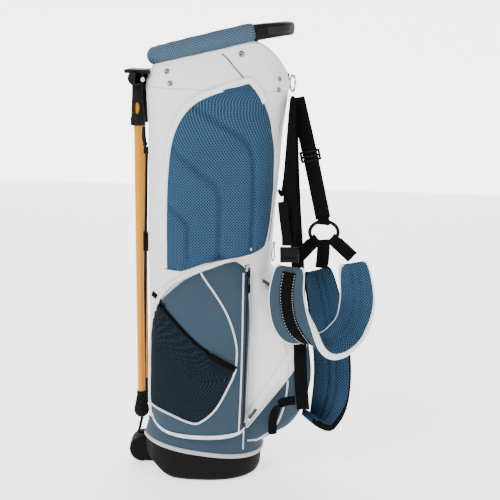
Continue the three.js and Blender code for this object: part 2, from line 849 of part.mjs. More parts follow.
function makeTab(zip) {
  const geometry = new THREE.BoxGeometry(7, zip.tab, 2);
  return placedOnZip(geometry, zip, zip.tab / 2 - 3, 6.2);
}

// Piece built flat with its length in Y, laid on the zip and lifted clear of the pocket.
function placedOnZip(geometry, zip, shift, lift) {
  const forward = zip.along.clone();
  const up = zip.outward.clone().addScaledVector(forward, -zip.outward.dot(forward)).normalize();
  const side = forward.clone().cross(up);
  const turn = new THREE.Matrix4().makeBasis(side, forward, up);
  const place = zip.start.clone().addScaledVector(forward, shift).addScaledVector(up, lift);
  return geometry.applyMatrix4(turn.setPosition(place));
}

// ---- Harness ------------------------------------------------------------------------------------

const RING = { centre: vec(161, -20, 794), halfHeight: 15, halfWidth: 12, radius: 2.2 };
const HUB = { centre: vec(234, -40, 507), halfWidth: 28, halfHeight: 22, radius: 3.6 };

// Flat strap through a list of points. facing is the direction of its width at each point.
function ribbon(stations, width, thickness, options = {}) {
  const centre = smoothCurve(stations.map((station) => station.at));
  const facing = smoothCurve(stations.map((station) => station.facing));
  return sweep(centre, {
    steps: options.steps ?? stations.length * 3,
    sides: options.sides ?? 8,
    exponent: options.exponent ?? 4,
    widthAt: (t) => facing.getPoint(t),
    halfWidth: options.halfWidth ?? width / 2,
    halfThickness: thickness / 2,
  });
}

function station(x, y, z, facing) {
  return { at: vec(x, y, z), facing: vec(...facing) };
}

function makeRingTab() {
  return boxBetween(vec(151.6, -32, 799), vec(154, -8, 813));
}

function makeSpineRing() {
  const curve = new FunctionCurve((t) => {
    const angle = 2 * Math.PI * t;
    return RING.centre.clone().add(vec(
      RING.halfWidth * 0.35 * Math.cos(angle),
      -RING.halfWidth * Math.cos(angle),
      RING.halfHeight * Math.sin(angle),
    ));
  });
  return sweep(curve, {
    steps: 20,
    sides: 8,
    closed: true,
    widthAt: () => vec(1, 0.35, 0),
    halfWidth: RING.radius,
    halfThickness: RING.radius,
  });
}

function makeHubRing() {
  const curve = new FunctionCurve((t) => {
    const angle = 2 * Math.PI * t;
    return HUB.centre.clone().add(vec(HUB.halfWidth * Math.cos(angle), 0, HUB.halfHeight * Math.sin(angle)));
  });
  return sweep(curve, {
    steps: 24,
    sides: 8,
    closed: true,
    widthAt: () => vec(0, 1, 0),
    halfWidth: HUB.radius,
    halfThickness: HUB.radius,
  });
}

const ACROSS = [1, -0.2, 0];

const HARNESS = {
  carry_handle: {
    stations: [
      station(162, -23, 770, [0, 1, 0]),
      station(159, -24, 740, [0, 1, 0]),
      station(156, -25, 666, [0, 1, 0]),
      station(153, -25, 606, [0, 1, 0]),
      station(149, -24, 578, [0, 1, 0]),
      station(142, -22, 586, [0, 1, 0]),
    ],
    width: 22,
    thickness: 7,
  },
  top_strap: {
    stations: [
      station(169, -40, 768, ACROSS),
      station(200, -40, 657, ACROSS),
      station(231, -40, 535, ACROSS),
    ],
    width: 30,
    thickness: 3,
  },
  strap_near: {
    stations: [
      station(161, -52, 766, [0.35, -0.9, 0]),
      station(161, -66, 700, [0.45, -0.85, 0]),
      station(161, -84, 600, [0.8, -0.55, 0]),
      station(162, -97, 520, ACROSS),
      station(163, -101, 490, ACROSS),
    ],
    width: 28,
    thickness: 2.4,
  },
  strap_far: {
    stations: [
      station(167, 4, 766, [0.35, -0.9, 0]),
      station(170, 4, 690, [0.5, -0.85, 0]),
      station(176, -8, 560, [0.8, -0.5, 0]),
      station(186, -44, 430, ACROSS),
      station(191, -66, 345, ACROSS),
      station(198, -82, 230, ACROSS),
      station(207, -78, 150, ACROSS),
    ],
    width: 26,
    thickness: 2.4,
  },
  hub_strap_left: {
    stations: [
      station(211, -42, 484, [-0.6, 0, 0.8]),
      station(194, -48, 466, [-0.6, 0, 0.8]),
      station(177, -56, 449, [-0.6, 0, 0.8]),
    ],
    width: 26,
    thickness: 2.6,
  },
  hub_strap_middle: {
    stations: [
      station(235, -39, 479, ACROSS),
      station(236, -20, 444, ACROSS),
      station(237, 8, 424, ACROSS),
    ],
    width: 26,
    thickness: 2.6,
  },
  hub_strap_right: {
    stations: [
      station(260, -40, 487, [0.6, 0, 0.8]),
      station(278, -42, 472, [0.7, 0, 0.7]),
      station(293, -45, 459, [0.8, 0, 0.6]),
    ],
    width: 26,
    thickness: 2.6,
  },
  haul_loop: {
    stations: [
      station(146, -103, 106, [0.9, 0.3, 0.1]),
      station(147, -105, 146, [0.9, 0.3, 0.1]),
      station(162, -104, 172, [0.4, 0.2, 0.8]),
      station(188, -97, 176, [0, 0.1, 1]),
    ],
    width: 18,
    thickness: 5,
  },
};

const PAD = { width: 78, thickness: 16 };
const PAD_STATIONS = {
  near: [
    station(167, -104, 450, [1, -0.1, 0]),
    station(162, -112, 388, [1, -0.1, 0.1]),
    station(183, -121, 330, [0.8, -0.4, 0.4]),
    station(244, -108, 294, [0.1, -0.95, -0.25]),
    station(292, -68, 318, [0.5, -0.75, -0.4]),
    station(306, -56, 374, [0.95, -0.3, 0.1]),
    station(293, -54, 450, [1, 0.1, 0]),
  ],
  far: [
    station(222, -44, 122, [0.1, -0.95, 0.2]),
    station(252, -26, 104, [0.5, -0.85, 0]),
    station(270, 4, 152, [0.95, -0.3, 0]),
    station(270, 18, 230, [0.95, -0.3, 0]),
    station(252, 22, 330, [1, 0.1, 0]),
    station(230, 22, 416, [1, 0.1, 0]),
  ],
};

function makeShoulderPad(stations) {
  return ribbon(stations, PAD.width, PAD.thickness, {
    steps: 22,
    sides: 10,
    exponent: 3,
    halfWidth: (t) => (PAD.width / 2) * (0.55 + 0.45 * Math.sin(Math.PI * t) ** 0.35),
  });
}

function makeStrapSlider() {
  const strap = HARNESS.top_strap;
  const middle = strap.stations[1].at;
  const direction = strap.stations[2].at.clone().sub(strap.stations[0].at).normalize();
  const from = middle.clone().addScaledVector(direction, -11);
  const to = middle.clone().addScaledVector(direction, 11);
  const across = vec(...ACROSS);
  const outer = barBox(from, to, 40, 12, across);
  const slot = barBox(
    from.addScaledVector(direction, -9),
    to.addScaledVector(direction, 9),
    31.5,
    4.4,
    across,
  );
  return cut(outer, slot);
}

function makeLadderLock(at, next) {
  const curve = new THREE.LineCurve3(at, next);
  return sweep(curve, {
    steps: 1,
    sides: 8,
    exponent: 5,
    widthAt: () => vec(...ACROSS),
    halfWidth: 18,
    halfThickness: 5,
  });
}

function makeSnapHook() {
  return bar(vec(136, -52, 488), vec(134, -60, 448), 3.2, 8);
}

// ---- Assembly -----------------------------------------------------------------------------------

const parts = [
  ['base_boot', makeBoot(), BLACK_PLASTIC],
  ['base_piping', makeBasePiping(), GREY_PIPING],
  ['body_panel_front', makePanel(50.2, 129.8, 12), WHITE_FABRIC],
  ['body_panel_leg', makeLegPanel(), WHITE_FABRIC],
  ['body_panel_back', makePanel(230.2, 309.8, 12), WHITE_FABRIC],
  ['body_panel_spine', makePanel(-49.8, 49.8, 10), WHITE_FABRIC],
  ['collar_wall', makeCollarWall(), WHITE_FABRIC],
  ['collar_frame', makeCollarFrame(), BLACK_PLASTIC],
  ['collar_sleeve', makeSleeve(), BLUE_MESH],
  ['divider_cross', makeDividerCross(), DARK_LINING],
  ['divider_sheet', makeDividerSheet(), DARK_LINING],
  ['stay_rod_near', makeStay(125), GLASS_FIBRE],
  ['stay_rod_far', makeStay(235), GLASS_FIBRE],
  ['stay_rod_spine', makeStay(0), GLASS_FIBRE],
  ['leg_bracket', makeBracket(), BLACK_PLASTIC],
  ['actuator_rod', makeActuatorRod(), BLACK_PLASTIC],
  ['rod_joiner', makeRodJoiner(), BLACK_PLASTIC],
  ['rod_guide', makeRodGuide(), BLACK_PLASTIC],
  ['pedal_plate', makePedal(), BLACK_PLASTIC],
  ['pedal_pin', hingeBar(BAY.halfWidth - GAP, 2, 10), STEEL],
  ['pedal_bumper', makeBumper(), RUBBER],
  ['side_pocket_near', makeSidePocket(NEAR_POCKET_ROWS), SLATE_FABRIC],
  ['side_pocket_far', makeSidePocket(FAR_POCKET_ROWS), SLATE_FABRIC],
  ['mesh_pocket', makeMeshPocket(), DARK_MESH],
  ['hip_pad', makeHipPad(), BLUE_MESH],
  ['spine_pocket_upper', makeSpinePocketUpper(), WHITE_FABRIC],
  ['spine_pocket_lower', makeSpinePocketLower(), SLATE_FABRIC],
  ['ring_tab', makeRingTab(), BLACK_WEBBING],
  ['spine_ring', makeSpineRing(), STEEL],
  ['hub_ring', makeHubRing(), BLACK_PLASTIC],
  ['strap_slider', makeStrapSlider(), BLACK_PLASTIC],
  ['shoulder_pad_near', makeShoulderPad(PAD_STATIONS.near), BLUE_MESH],
  ['shoulder_pad_far', makeShoulderPad(PAD_STATIONS.far), BLUE_MESH],
  ['ladder_lock_near', makeLadderLock(vec(163.4, -101.3, 487.6), vec(165, -103.4, 458)), BLACK_PLASTIC],
  ['snap_hook', makeSnapHook(), STEEL],
];

for (const [side, word] of [[-1, 'near'], [1, 'far']]) {
  parts.push([`bracket_pin_${word}`, makeBracketPin(side), STEEL]);
  parts.push([`leg_socket_${word}`, makeSocket(side), BLACK_PLASTIC]);
  parts.push([`leg_tube_${word}`, makeLegTube(side), YELLOW_TUBE]);
  parts.push([`leg_foot_${word}`, makeFoot(side), RUBBER]);
  parts.push([`yoke_arm_${word}`, makeYokeArm(side), BLACK_PLASTIC]);
}

for (const [name, zip] of Object.entries(ZIPS)) {
  parts.push([`${name}_zip_slider`, makeSlider(zip), STEEL]);
  parts.push([`${name}_zip_tab`, makeTab(zip), SLATE_FABRIC]);
}

for (const [name, strap] of Object.entries(HARNESS)) {
  parts.push([name, ribbon(strap.stations, strap.width, strap.thickness), BLACK_WEBBING]);
}

for (const [name, geometry, surface] of parts) {
  add(name, geometry, surface);
}

export default group;
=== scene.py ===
"""Golf stand bag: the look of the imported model. Lengths inside this script are in millimetres."""
import math
import random

import bmesh
import bpy
from mathutils import Matrix, Vector, noise
from mathutils.bvhtree import BVHTree


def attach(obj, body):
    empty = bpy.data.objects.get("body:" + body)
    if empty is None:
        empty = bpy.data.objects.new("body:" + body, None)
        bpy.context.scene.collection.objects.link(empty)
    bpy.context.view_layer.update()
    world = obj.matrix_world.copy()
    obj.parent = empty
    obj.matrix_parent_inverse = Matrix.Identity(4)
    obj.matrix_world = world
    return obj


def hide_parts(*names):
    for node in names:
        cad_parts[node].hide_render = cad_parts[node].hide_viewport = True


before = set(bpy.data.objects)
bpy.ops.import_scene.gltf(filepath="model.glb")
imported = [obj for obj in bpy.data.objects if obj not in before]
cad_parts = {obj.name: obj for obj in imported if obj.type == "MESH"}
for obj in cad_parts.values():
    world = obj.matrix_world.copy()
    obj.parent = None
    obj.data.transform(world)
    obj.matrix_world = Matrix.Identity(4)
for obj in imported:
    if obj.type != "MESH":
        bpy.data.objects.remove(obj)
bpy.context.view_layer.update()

MM = 0.001
random.seed(7)


# ---- Camera, light and floor --------------------------------------------------------------------

CAMERA_PLACE = Vector((60, -1900, 865))
CAMERA_AIM = Vector((90, 0, 457.7))
CAMERA_ROLL = math.radians(2.0)
CAMERA_LENS = 69.12


def make_camera():
    data = bpy.data.cameras.new("camera")
    data.sensor_width = 36
    data.lens = CAMERA_LENS
    data.dof.use_dof = False
    camera = bpy.data.objects.new("camera", data)
    bpy.context.scene.collection.objects.link(camera)
    forward = (CAMERA_AIM - CAMERA_PLACE).normalized()
    level = forward.cross(Vector((0, 0, 1))).normalized()
    upright = level.cross(forward)
    right = level * math.cos(CAMERA_ROLL) + upright * math.sin(CAMERA_ROLL)
    up = upright * math.cos(CAMERA_ROLL) - level * math.sin(CAMERA_ROLL)
    turn = Matrix((right, up, -forward)).transposed().to_4x4()
    camera.matrix_world = Matrix.Translation(CAMERA_PLACE * MM) @ turn
    bpy.context.scene.camera = camera


def add_area(name, place, aim, size, power):
    data = bpy.data.lights.new(name, "AREA")
    data.size = size
    data.energy = power
    lamp = bpy.data.objects.new(name, data)
    bpy.context.scene.collection.objects.link(lamp)
    lamp.location = place
    lamp.rotation_euler = (Vector(aim) - Vector(place)).to_track_quat("-Z", "Y").to_euler()


def make_studio():
    world = bpy.data.worlds.new("studio")
    world.use_nodes = True
    background = world.node_tree.nodes["Background"]
    background.inputs["Color"].default_value = (1, 1, 1, 1)
    background.inputs["Strength"].default_value = 0.85
    bpy.context.scene.world = world
    add_area("key_light", (-1.3, -2.0, 2.4), (0, 0, 0.5), 0.9, 92)
    add_area("fill_light", (2.2, -1.8, 1.2), (0, 0, 0.4), 1.8, 16)
    add_area("back_light", (0.4, 2.0, 2.2), (0, 0, 0.5), 1.6, 24)
    bpy.ops.mesh.primitive_plane_add(size=12, location=(0, 0, -0.0005))
    floor = bpy.context.object
    floor.name = "floor"
    floor.data.materials.append(glowing_material("floor_white", 1.3))
    bpy.ops.mesh.primitive_plane_add(size=12, location=(0, 4, 2), rotation=(math.pi / 2, 0, 0))
    backdrop = bpy.context.object
    backdrop.name = "backdrop"
    backdrop.data.materials.append(glowing_material("backdrop_white", 3.0))


# ---- Material building --------------------------------------------------------------------------

def new_material(name):
    material = bpy.data.materials.new(name)
    material.use_nodes = True
    tree = material.node_tree
    shader = tree.nodes["Principled BSDF"]
    return material, tree, shader


def plain_material(name, color, roughness):
    material, _tree, shader = new_material(name)
    shader.inputs["Base Color"].default_value = (*color, 1)
    shader.inputs["Roughness"].default_value = roughness
    return material


def glowing_material(name, strength):
    """White paper of the studio, lit from behind."""
    material, _tree, shader = new_material(name)
    shader.inputs["Base Color"].default_value = (0.9, 0.9, 0.9, 1)
    shader.inputs["Roughness"].default_value = 0.9
    shader.inputs["Emission Color"].default_value = (1, 1, 1, 1)
    shader.inputs["Emission Strength"].default_value = strength
    return material


def add_node(tree, kind, **inputs):
    node = tree.nodes.new(kind)
    for key, value in inputs.items():
        node.inputs[key].default_value = value
    return node


def math_node(tree, operation, first, second=None, third=None):
    node = tree.nodes.new("ShaderNodeMath")
    node.operation = operation
    for socket, value in zip(node.inputs, (first, second, third)):
        if value is None:
            continue
        if isinstance(value, (int, float)):
            socket.default_value = value
        else:
            tree.links.new(value, socket)
    return node.outputs[0]


def mix_colors(tree, factor, first, second):
    node = tree.nodes.new("ShaderNodeMix")
    node.data_type = "RGBA"
    tree.links.new(factor, node.inputs["Factor"])
    for socket, value in ((node.inputs[6], first), (node.inputs[7], second)):
        if isinstance(value, tuple):
            socket.default_value = (*value, 1)
        else:
            tree.links.new(value, socket)
    return node.outputs[2]


def texture_space(tree, use_uv, turn=0.0):
    """Coordinates in metres: along the cloth where the mesh has a layout, else in the object."""
    source = tree.nodes.new("ShaderNodeTexCoord")
    output = source.outputs["UV"] if use_uv else source.outputs["Object"]
    mapping = tree.nodes.new("ShaderNodeMapping")
    mapping.inputs["Rotation"].default_value = (0, 0, turn)
    tree.links.new(output, mapping.inputs["Vector"])
    split = tree.nodes.new("ShaderNodeSeparateXYZ")
    tree.links.new(mapping.outputs["Vector"], split.inputs[0])
    return mapping.outputs["Vector"], split.outputs


def noise_value(tree, vector, scale, detail=3.0):
    node = add_node(tree, "ShaderNodeTexNoise", Scale=scale, Detail=detail)
    tree.links.new(vector, node.inputs["Vector"])
    return node.outputs["Fac"]


def waves(tree, value, period):
    angle = math_node(tree, "MULTIPLY", value, 2 * math.pi / period)
    sine = math_node(tree, "SINE", angle)
    return math_node(tree, "MULTIPLY_ADD", sine, 0.5, 0.5)


def add_bump(tree, shader, height, distance, strength=1.0):
    bump = add_node(tree, "ShaderNodeBump", Strength=strength, Distance=distance)
    tree.links.new(height, bump.inputs["Height"])
    tree.links.new(bump.outputs["Normal"], shader.inputs["Normal"])


def woven_material(name, color, shade, period, depth, roughness, sheen=0.2, use_uv=True):
    """Plain weave: two crossing sets of threads, with soft mottling and dirt."""
    material, tree, shader = new_material(name)
    vector, (across, along, _height) = texture_space(tree, use_uv)
    warp = waves(tree, across, period)
    weft = waves(tree, along, period)
    weave = math_node(tree, "MULTIPLY", warp, weft)
    mottle = noise_value(tree, vector, 9.0)
    patch = math_node(tree, "MULTIPLY", mottle, 0.55)
    blend = math_node(tree, "MULTIPLY_ADD", weave, 0.35, patch)
    base = mix_colors(tree, blend, shade, color)
    tree.links.new(base, shader.inputs["Base Color"])
    grain = noise_value(tree, vector, 900.0, 2.0)
    height = math_node(tree, "ADD", weave, math_node(tree, "MULTIPLY", grain, 0.5))
    add_bump(tree, shader, height, depth)
    shader.inputs["Roughness"].default_value = roughness
    shader.inputs["Sheen Weight"].default_value = sheen
    shader.inputs["Specular IOR Level"].default_value = 0.08
    return material


def spacer_mesh_material(name, color, hole, period, depth, gap=0.52):
    """Padded spacer mesh: a diagonal net of threads over dark holes."""
    material, tree, shader = new_material(name)
    vector, (across, along, _height) = texture_space(tree, True, math.radians(45))
    first = waves(tree, across, period)
    second = waves(tree, along, period)
    lattice = math_node(tree, "MAXIMUM", first, second)
    ramp = tree.nodes.new("ShaderNodeMapRange")
    ramp.interpolation_type = "SMOOTHSTEP"
    ramp.inputs["From Min"].default_value = gap
    ramp.inputs["From Max"].default_value = gap + 0.3
    tree.links.new(lattice, ramp.inputs["Value"])
    thread = ramp.outputs["Result"]
    mottle = noise_value(tree, vector, 14.0)
    tint = mix_colors(tree, mottle, tuple(c * 0.8 for c in color), color)
    base = mix_colors(tree, thread, hole, tint)
    tree.links.new(base, shader.inputs["Base Color"])
    add_bump(tree, shader, thread, depth)
    shader.inputs["Roughness"].default_value = 0.85
    shader.inputs["Specular IOR Level"].default_value = 0.05
    return material


def webbing_material(name, color, light, period, depth):
    """Ribbed webbing: fine ribs across and a herringbone along the strap."""
    material, tree, shader = new_material(name)
    vector, (across, along, _height) = texture_space(tree, True)
    slanted = math_node(tree, "ADD", along, math_node(tree, "MULTIPLY", across, 0.6))
    ribs = waves(tree, slanted, period)
    rows = waves(tree, across, period * 1.6)
    height = math_node(tree, "MULTIPLY", ribs, rows)
    base = mix_colors(tree, height, color, light)
    tree.links.new(base, shader.inputs["Base Color"])
    add_bump(tree, shader, height, depth)
    shader.inputs["Roughness"].default_value = 0.8
    shader.inputs["Specular IOR Level"].default_value = 0.03
    return material


def moulded_material(name, color, light, roughness, grain_scale=1400.0, depth=0.00012):
    """Injection-moulded plastic or rubber with a fine spark-eroded grain."""
    material, tree, shader = new_material(name)
    vector, _axes = texture_space(tree, False)
    grain = noise_value(tree, vector, grain_scale, 2.0)
    wear = noise_value(tree, vector, 24.0, 5.0)
    base = mix_colors(tree, wear, color, light)
    tree.links.new(base, shader.inputs["Base Color"])
    rough = math_node(tree, "MULTIPLY_ADD", wear, 0.25, roughness - 0.12)
    tree.links.new(rough, shader.inputs["Roughness"])
    add_bump(tree, shader, grain, depth)
    shader.inputs["Specular IOR Level"].default_value = 0.06
    return material


def metal_material(name, color, roughness, brushed=0.00004):
    material, tree, shader = new_material(name)
    vector, _axes = texture_space(tree, False)
    scratch = noise_value(tree, vector, 420.0, 4.0)
    base = mix_colors(tree, scratch, tuple(c * 0.88 for c in color), color)
    tree.links.new(base, shader.inputs["Base Color"])
    add_bump(tree, shader, scratch, brushed)
    shader.inputs["Metallic"].default_value = 1.0
    shader.inputs["Roughness"].default_value = roughness
    return material


def lacquer_material(name, color, deep):
    """Glossy coloured lacquer on the aluminium legs."""
    material, tree, shader = new_material(name)
    vector, _axes = texture_space(tree, False)
    cloud = noise_value(tree, vector, 18.0, 4.0)
    base = mix_colors(tree, cloud, deep, color)
    tree.links.new(base, shader.inputs["Base Color"])
    ripple = noise_value(tree, vector, 260.0, 2.0)
    add_bump(tree, shader, ripple, 0.00003)
    shader.inputs["Metallic"].default_value = 0.25
    shader.inputs["Roughness"].default_value = 0.28
    shader.inputs["Specular IOR Level"].default_value = 0.25
    shader.inputs["Coat Weight"].default_value = 0.06
    shader.inputs["Coat Roughness"].default_value = 0.12
    return material


def piping_material(name, color, shade):
    """Corded edge binding with its slanting ridges."""
    material, tree, shader = new_material(name)
    _vector, (around, along, _height) = texture_space(tree, True)
    slanted = math_node(tree, "ADD", along, around)
    ridge = waves(tree, slanted, 0.0032)
    base = mix_colors(tree, ridge, shade, color)
    tree.links.new(base, shader.inputs["Base Color"])
    add_bump(tree, shader, ridge, 0.0004)
    shader.inputs["Roughness"].default_value = 0.7
    return material


WHITE = woven_material("white_fabric", (0.80, 0.79, 0.79), (0.70, 0.69, 0.69), 0.0016, 0.00012, 0.62, 0.1)
SLATE = woven_material("slate_fabric", (0.034, 0.056, 0.080), (0.024, 0.041, 0.060), 0.0016, 0.00014, 0.6, 0.0)
BLUE_MESH = spacer_mesh_material("blue_mesh", (0.036, 0.088, 0.158), (0.004, 0.009, 0.020), 0.0042, 0.0007)
# Sleeve mesh: a lighter, greyer copy of the blue mesh; the extra lightness is a painted highlight along the top of
# the sleeve.
SLEEVE_MESH_PAINTED_HIGHLIGHT = spacer_mesh_material("sleeve_mesh_painted_highlight", (0.080, 0.130, 0.190), (0.014, 0.024, 0.040), 0.0036, 0.0006)
DARK_MESH = spacer_mesh_material("dark_mesh", (0.013, 0.022, 0.032), (0.001, 0.001, 0.002), 0.0050, 0.0005, 0.6)
WEBBING = webbing_material("black_webbing", (0.002, 0.002, 0.002), (0.007, 0.007, 0.008), 0.0022, 0.0004)
PLASTIC = moulded_material("black_plastic", (0.004, 0.004, 0.004), (0.008, 0.008, 0.009), 0.5)
GREY_PLASTIC = moulded_material("grey_plastic", (0.014, 0.014, 0.015), (0.020, 0.020, 0.021), 0.5, 900.0, 0.0003)
RUBBER = moulded_material("black_rubber", (0.003, 0.003, 0.003), (0.006, 0.006, 0.006), 0.75)
BOOT = moulded_material("boot_plastic", (0.003, 0.003, 0.003), (0.006, 0.006, 0.006), 0.6, 800.0, 0.0003)
YELLOW = lacquer_material("yellow_lacquer", (0.56, 0.22, 0.0), (0.45, 0.17, 0.0))
STEEL = metal_material("steel", (0.62, 0.62, 0.63), 0.2)
RIVET = metal_material("rivet_steel", (0.20, 0.20, 0.21), 0.3)
# White piping: its darker, bluish colour and the deeper lavender tone in its grooves are painted shade, which sets
# the piping apart from the white cloth.
WHITE_PIPING = piping_material("white_piping_painted_shade", (0.76, 0.76, 0.80), (0.44, 0.45, 0.51))
GREY_PIPING = piping_material("grey_piping", (0.47, 0.47, 0.47), (0.33, 0.33, 0.33))
WHITE_THREAD = plain_material("white_thread", (0.62, 0.61, 0.60), 0.8)
# Navy thread, darker than its own colour so that the stitch rows along the hip pad's channels also carry painted
# shade of the grooves.
BLUE_THREAD = plain_material("blue_thread", (0.010, 0.026, 0.050), 0.8)
BLACK_THREAD = plain_material("black_thread", (0.02, 0.02, 0.02), 0.8)
LINING = woven_material("dark_lining", (0.045, 0.045, 0.048), (0.030, 0.030, 0.032), 0.0018, 0.0001, 0.8)
FIBRE = metal_material("glass_fibre", (0.35, 0.35, 0.33), 0.6)


# ---- Mesh building ------------------------------------------------------------------------------

def build_object(name, points, faces, layout, material, smooth=True):
    """Mesh from points in millimetres; layout gives each point's place on the cloth in metres."""
    mesh = bpy.data.meshes.new(name)
    mesh.from_pydata([point * MM for point in points], [], faces)
    if layout:
        uv = mesh.uv_layers.new(name="cloth")
        for loop in mesh.loops:
            uv.data[loop.index].uv = layout[loop.vertex_index]
    mesh.materials.append(material)
    mesh.validate()
    if smooth:
        mesh.shade_smooth()
    piece = bpy.data.objects.new(name, mesh)
    bpy.context.scene.collection.objects.link(piece)
    return piece


def recalculate(piece):
    mesh = bmesh.new()
    mesh.from_mesh(piece.data)
    bmesh.ops.recalc_face_normals(mesh, faces=mesh.faces)
    mesh.to_mesh(piece.data)
    mesh.free()


def apply_modifiers(piece):
    bpy.context.view_layer.objects.active = piece
    for modifier in list(piece.modifiers):
        bpy.ops.object.modifier_apply(modifier=modifier.name)


def finish_piece(piece, body, slot, *nodes):
    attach(piece, body)
    if nodes:
        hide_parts(*nodes)
    return piece


def grid_surface(name, surface, steps_u, steps_v, material, closed=False, thickness=0.0):
    """Sheet from surface(u, v); with a thickness it becomes a solid that grows inwards."""
    points = []
    layout = []
    rows = steps_v + 1
    columns = steps_u if closed else steps_u + 1
    for j in range(rows):
        travelled = 0.0
        previous = None
        for i in range(columns):
            point = surface(i / steps_u, j / steps_v)
            if previous is not None:
                travelled += (point - previous).length
            previous = point
            points.append(point)
            layout.append((travelled * MM, point.z * MM))
    faces = []
    for j in range(steps_v):
        for i in range(steps_u):
            k = (i + 1) % columns
            faces.append((j * columns + i, j * columns + k, (j + 1) * columns + k, (j + 1) * columns + i))
    piece = build_object(name, points, faces, layout, material)
    if thickness:
        solid = piece.modifiers.new("thickness", "SOLIDIFY")
        solid.thickness = thickness * MM
        solid.offset = -1
        apply_modifiers(piece)
    return piece


def raised_solid(name, inner, outer, steps_u, steps_v, material):
    """Closed solid between two surfaces that share their u and v."""
    points = []
    layout = []
    rows = steps_v + 1
    columns = steps_u + 1
    for surface in (outer, inner):
        for j in range(rows):
            travelled = 0.0
            previous = None
            for i in range(columns):
                point = surface(i / steps_u, j / steps_v)
                if previous is not None:
                    travelled += (point - previous).length
                previous = point
                points.append(point)
                layout.append((travelled * MM, point.z * MM))
    count = rows * columns
    faces = []
    for j in range(steps_v):
        for i in range(steps_u):
            a = j * columns + i
            faces.append((a, a + 1, a + columns + 1, a + columns))
            faces.append((count + a, count + a + columns, count + a + columns + 1, count + a + 1))
    rim = [i for i in range(columns)]
    rim += [j * columns + steps_u for j in range(1, rows)]
    rim += [steps_v * columns + i for i in range(steps_u - 1, -1, -1)]
    rim += [j * columns for j in range(steps_v - 1, 0, -1)]
    for a, b in zip(rim, rim[1:] + rim[:1]):
        faces.append((b, a, count + a, count + b))
    piece = build_object(name, points, faces, layout, material)
    recalculate(piece)
    return piece


def spline(points, samples, closed=False):
    """Even samples on a smooth curve through the points."""
    count = len(points)
    spans = count if closed else count - 1
    result = []
    total = samples if closed else samples + 1
    for s in range(total):
        t = s / samples * spans
        i = min(int(t), spans - 1)
        f = t - i
        if closed:
            p0, p1, p2, p3 = (points[(i + k - 1) % count] for k in range(4))
        else:
            p0, p1, p2, p3 = (points[min(max(i + k - 1, 0), count - 1)] for k in range(4))
        result.append(0.5 * (2 * p1 + (p2 - p0) * f + (2 * p0 - 5 * p1 + 4 * p2 - p3) * f * f
                             + (3 * p1 - p0 - 3 * p2 + p3) * f ** 3))
    return result


def power(value, exponent):
    return math.copysign(abs(value) ** exponent, value)


def sweep(name, path, widths, half_width, half_thickness, material, sides=12, exponent=2.0, closed=False):
    """Rounded section swept along a path; widths holds the direction of its width at each point."""
    points = []
    layout = []
    count = len(path)
    travelled = 0.0
    for i, centre in enumerate(path):
        after = path[(i + 1) % count] if closed else path[min(i + 1, count - 1)]
        before = path[i - 1] if closed else path[max(i - 1, 0)]
        tangent = (after - before).normalized()
        if i:
            travelled += (centre - path[i - 1]).length
        part = i / (count if closed else count - 1)
        wide = half_width(part) if callable(half_width) else half_width
        thick = half_thickness(part) if callable(half_thickness) else half_thickness
        width = widths[i] if isinstance(widths, list) else widths
        width = (width - tangent * width.dot(tangent)).normalized()
        normal = tangent.cross(width)
        for k in range(sides):
            angle = (k + 0.5) / sides * 2 * math.pi
            across = power(math.cos(angle), 2 / exponent) * wide
            through = power(math.sin(angle), 2 / exponent) * thick
            points.append(centre + width * across + normal * through)
            layout.append(((across if exponent > 2 else angle * wide) * MM, travelled * MM))
    faces = []
    for i in range(count if closed else count - 1):
        for k in range(sides):
            a = i * sides + k
            b = i * sides + (k + 1) % sides
            c = ((i + 1) % count) * sides
            faces.append((a, b, c + (k + 1) % sides, c + k))
    if not closed:
        faces.append(tuple(range(sides))[::-1])
        faces.append(tuple((count - 1) * sides + k for k in range(sides)))
    piece = build_object(name, points, faces, layout, material)
    recalculate(piece)
    return piece


def round_cord(name, path, radius, material, sides=10, closed=False):
    """Round cord; its section frame is carried along without twisting."""
    widths = []
    count = len(path)
    width = Vector((0.31, 0.57, 0.76))
    for i in range(count):
        after = path[(i + 1) % count] if closed else path[min(i + 1, count - 1)]
        before = path[i - 1] if closed else path[max(i - 1, 0)]
        tangent = (after - before).normalized()
        width = (width - tangent * width.dot(tangent)).normalized()
        widths.append(width)
    return sweep(name, path, widths, radius, radius, material, sides, 2.0, closed)


def lathe(name, start, end, profile, material, sides=48):
    """Turned piece: profile rows are radius and distance from start towards end."""
    axis = (end - start).normalized()
    side = axis.orthogonal().normalized()
    third = axis.cross(side)
    points = []
    layout = []
    for radius, height in profile:
        for k in range(sides):
            angle = k / sides * 2 * math.pi
            spoke = side * math.cos(angle) + third * math.sin(angle)
            points.append(start + axis * height + spoke * radius)
            layout.append((angle * radius * MM, height * MM))
    faces = []
    for j in range(len(profile) - 1):
        for k in range(sides):
            m = (k + 1) % sides
            faces.append((j * sides + k, j * sides + m, (j + 1) * sides + m, (j + 1) * sides + k))
    faces.append(tuple(range(sides))[::-1])
    faces.append(tuple((len(profile) - 1) * sides + k for k in range(sides)))
    piece = build_object(name, points, faces, layout, material)
    recalculate(piece)
    return piece


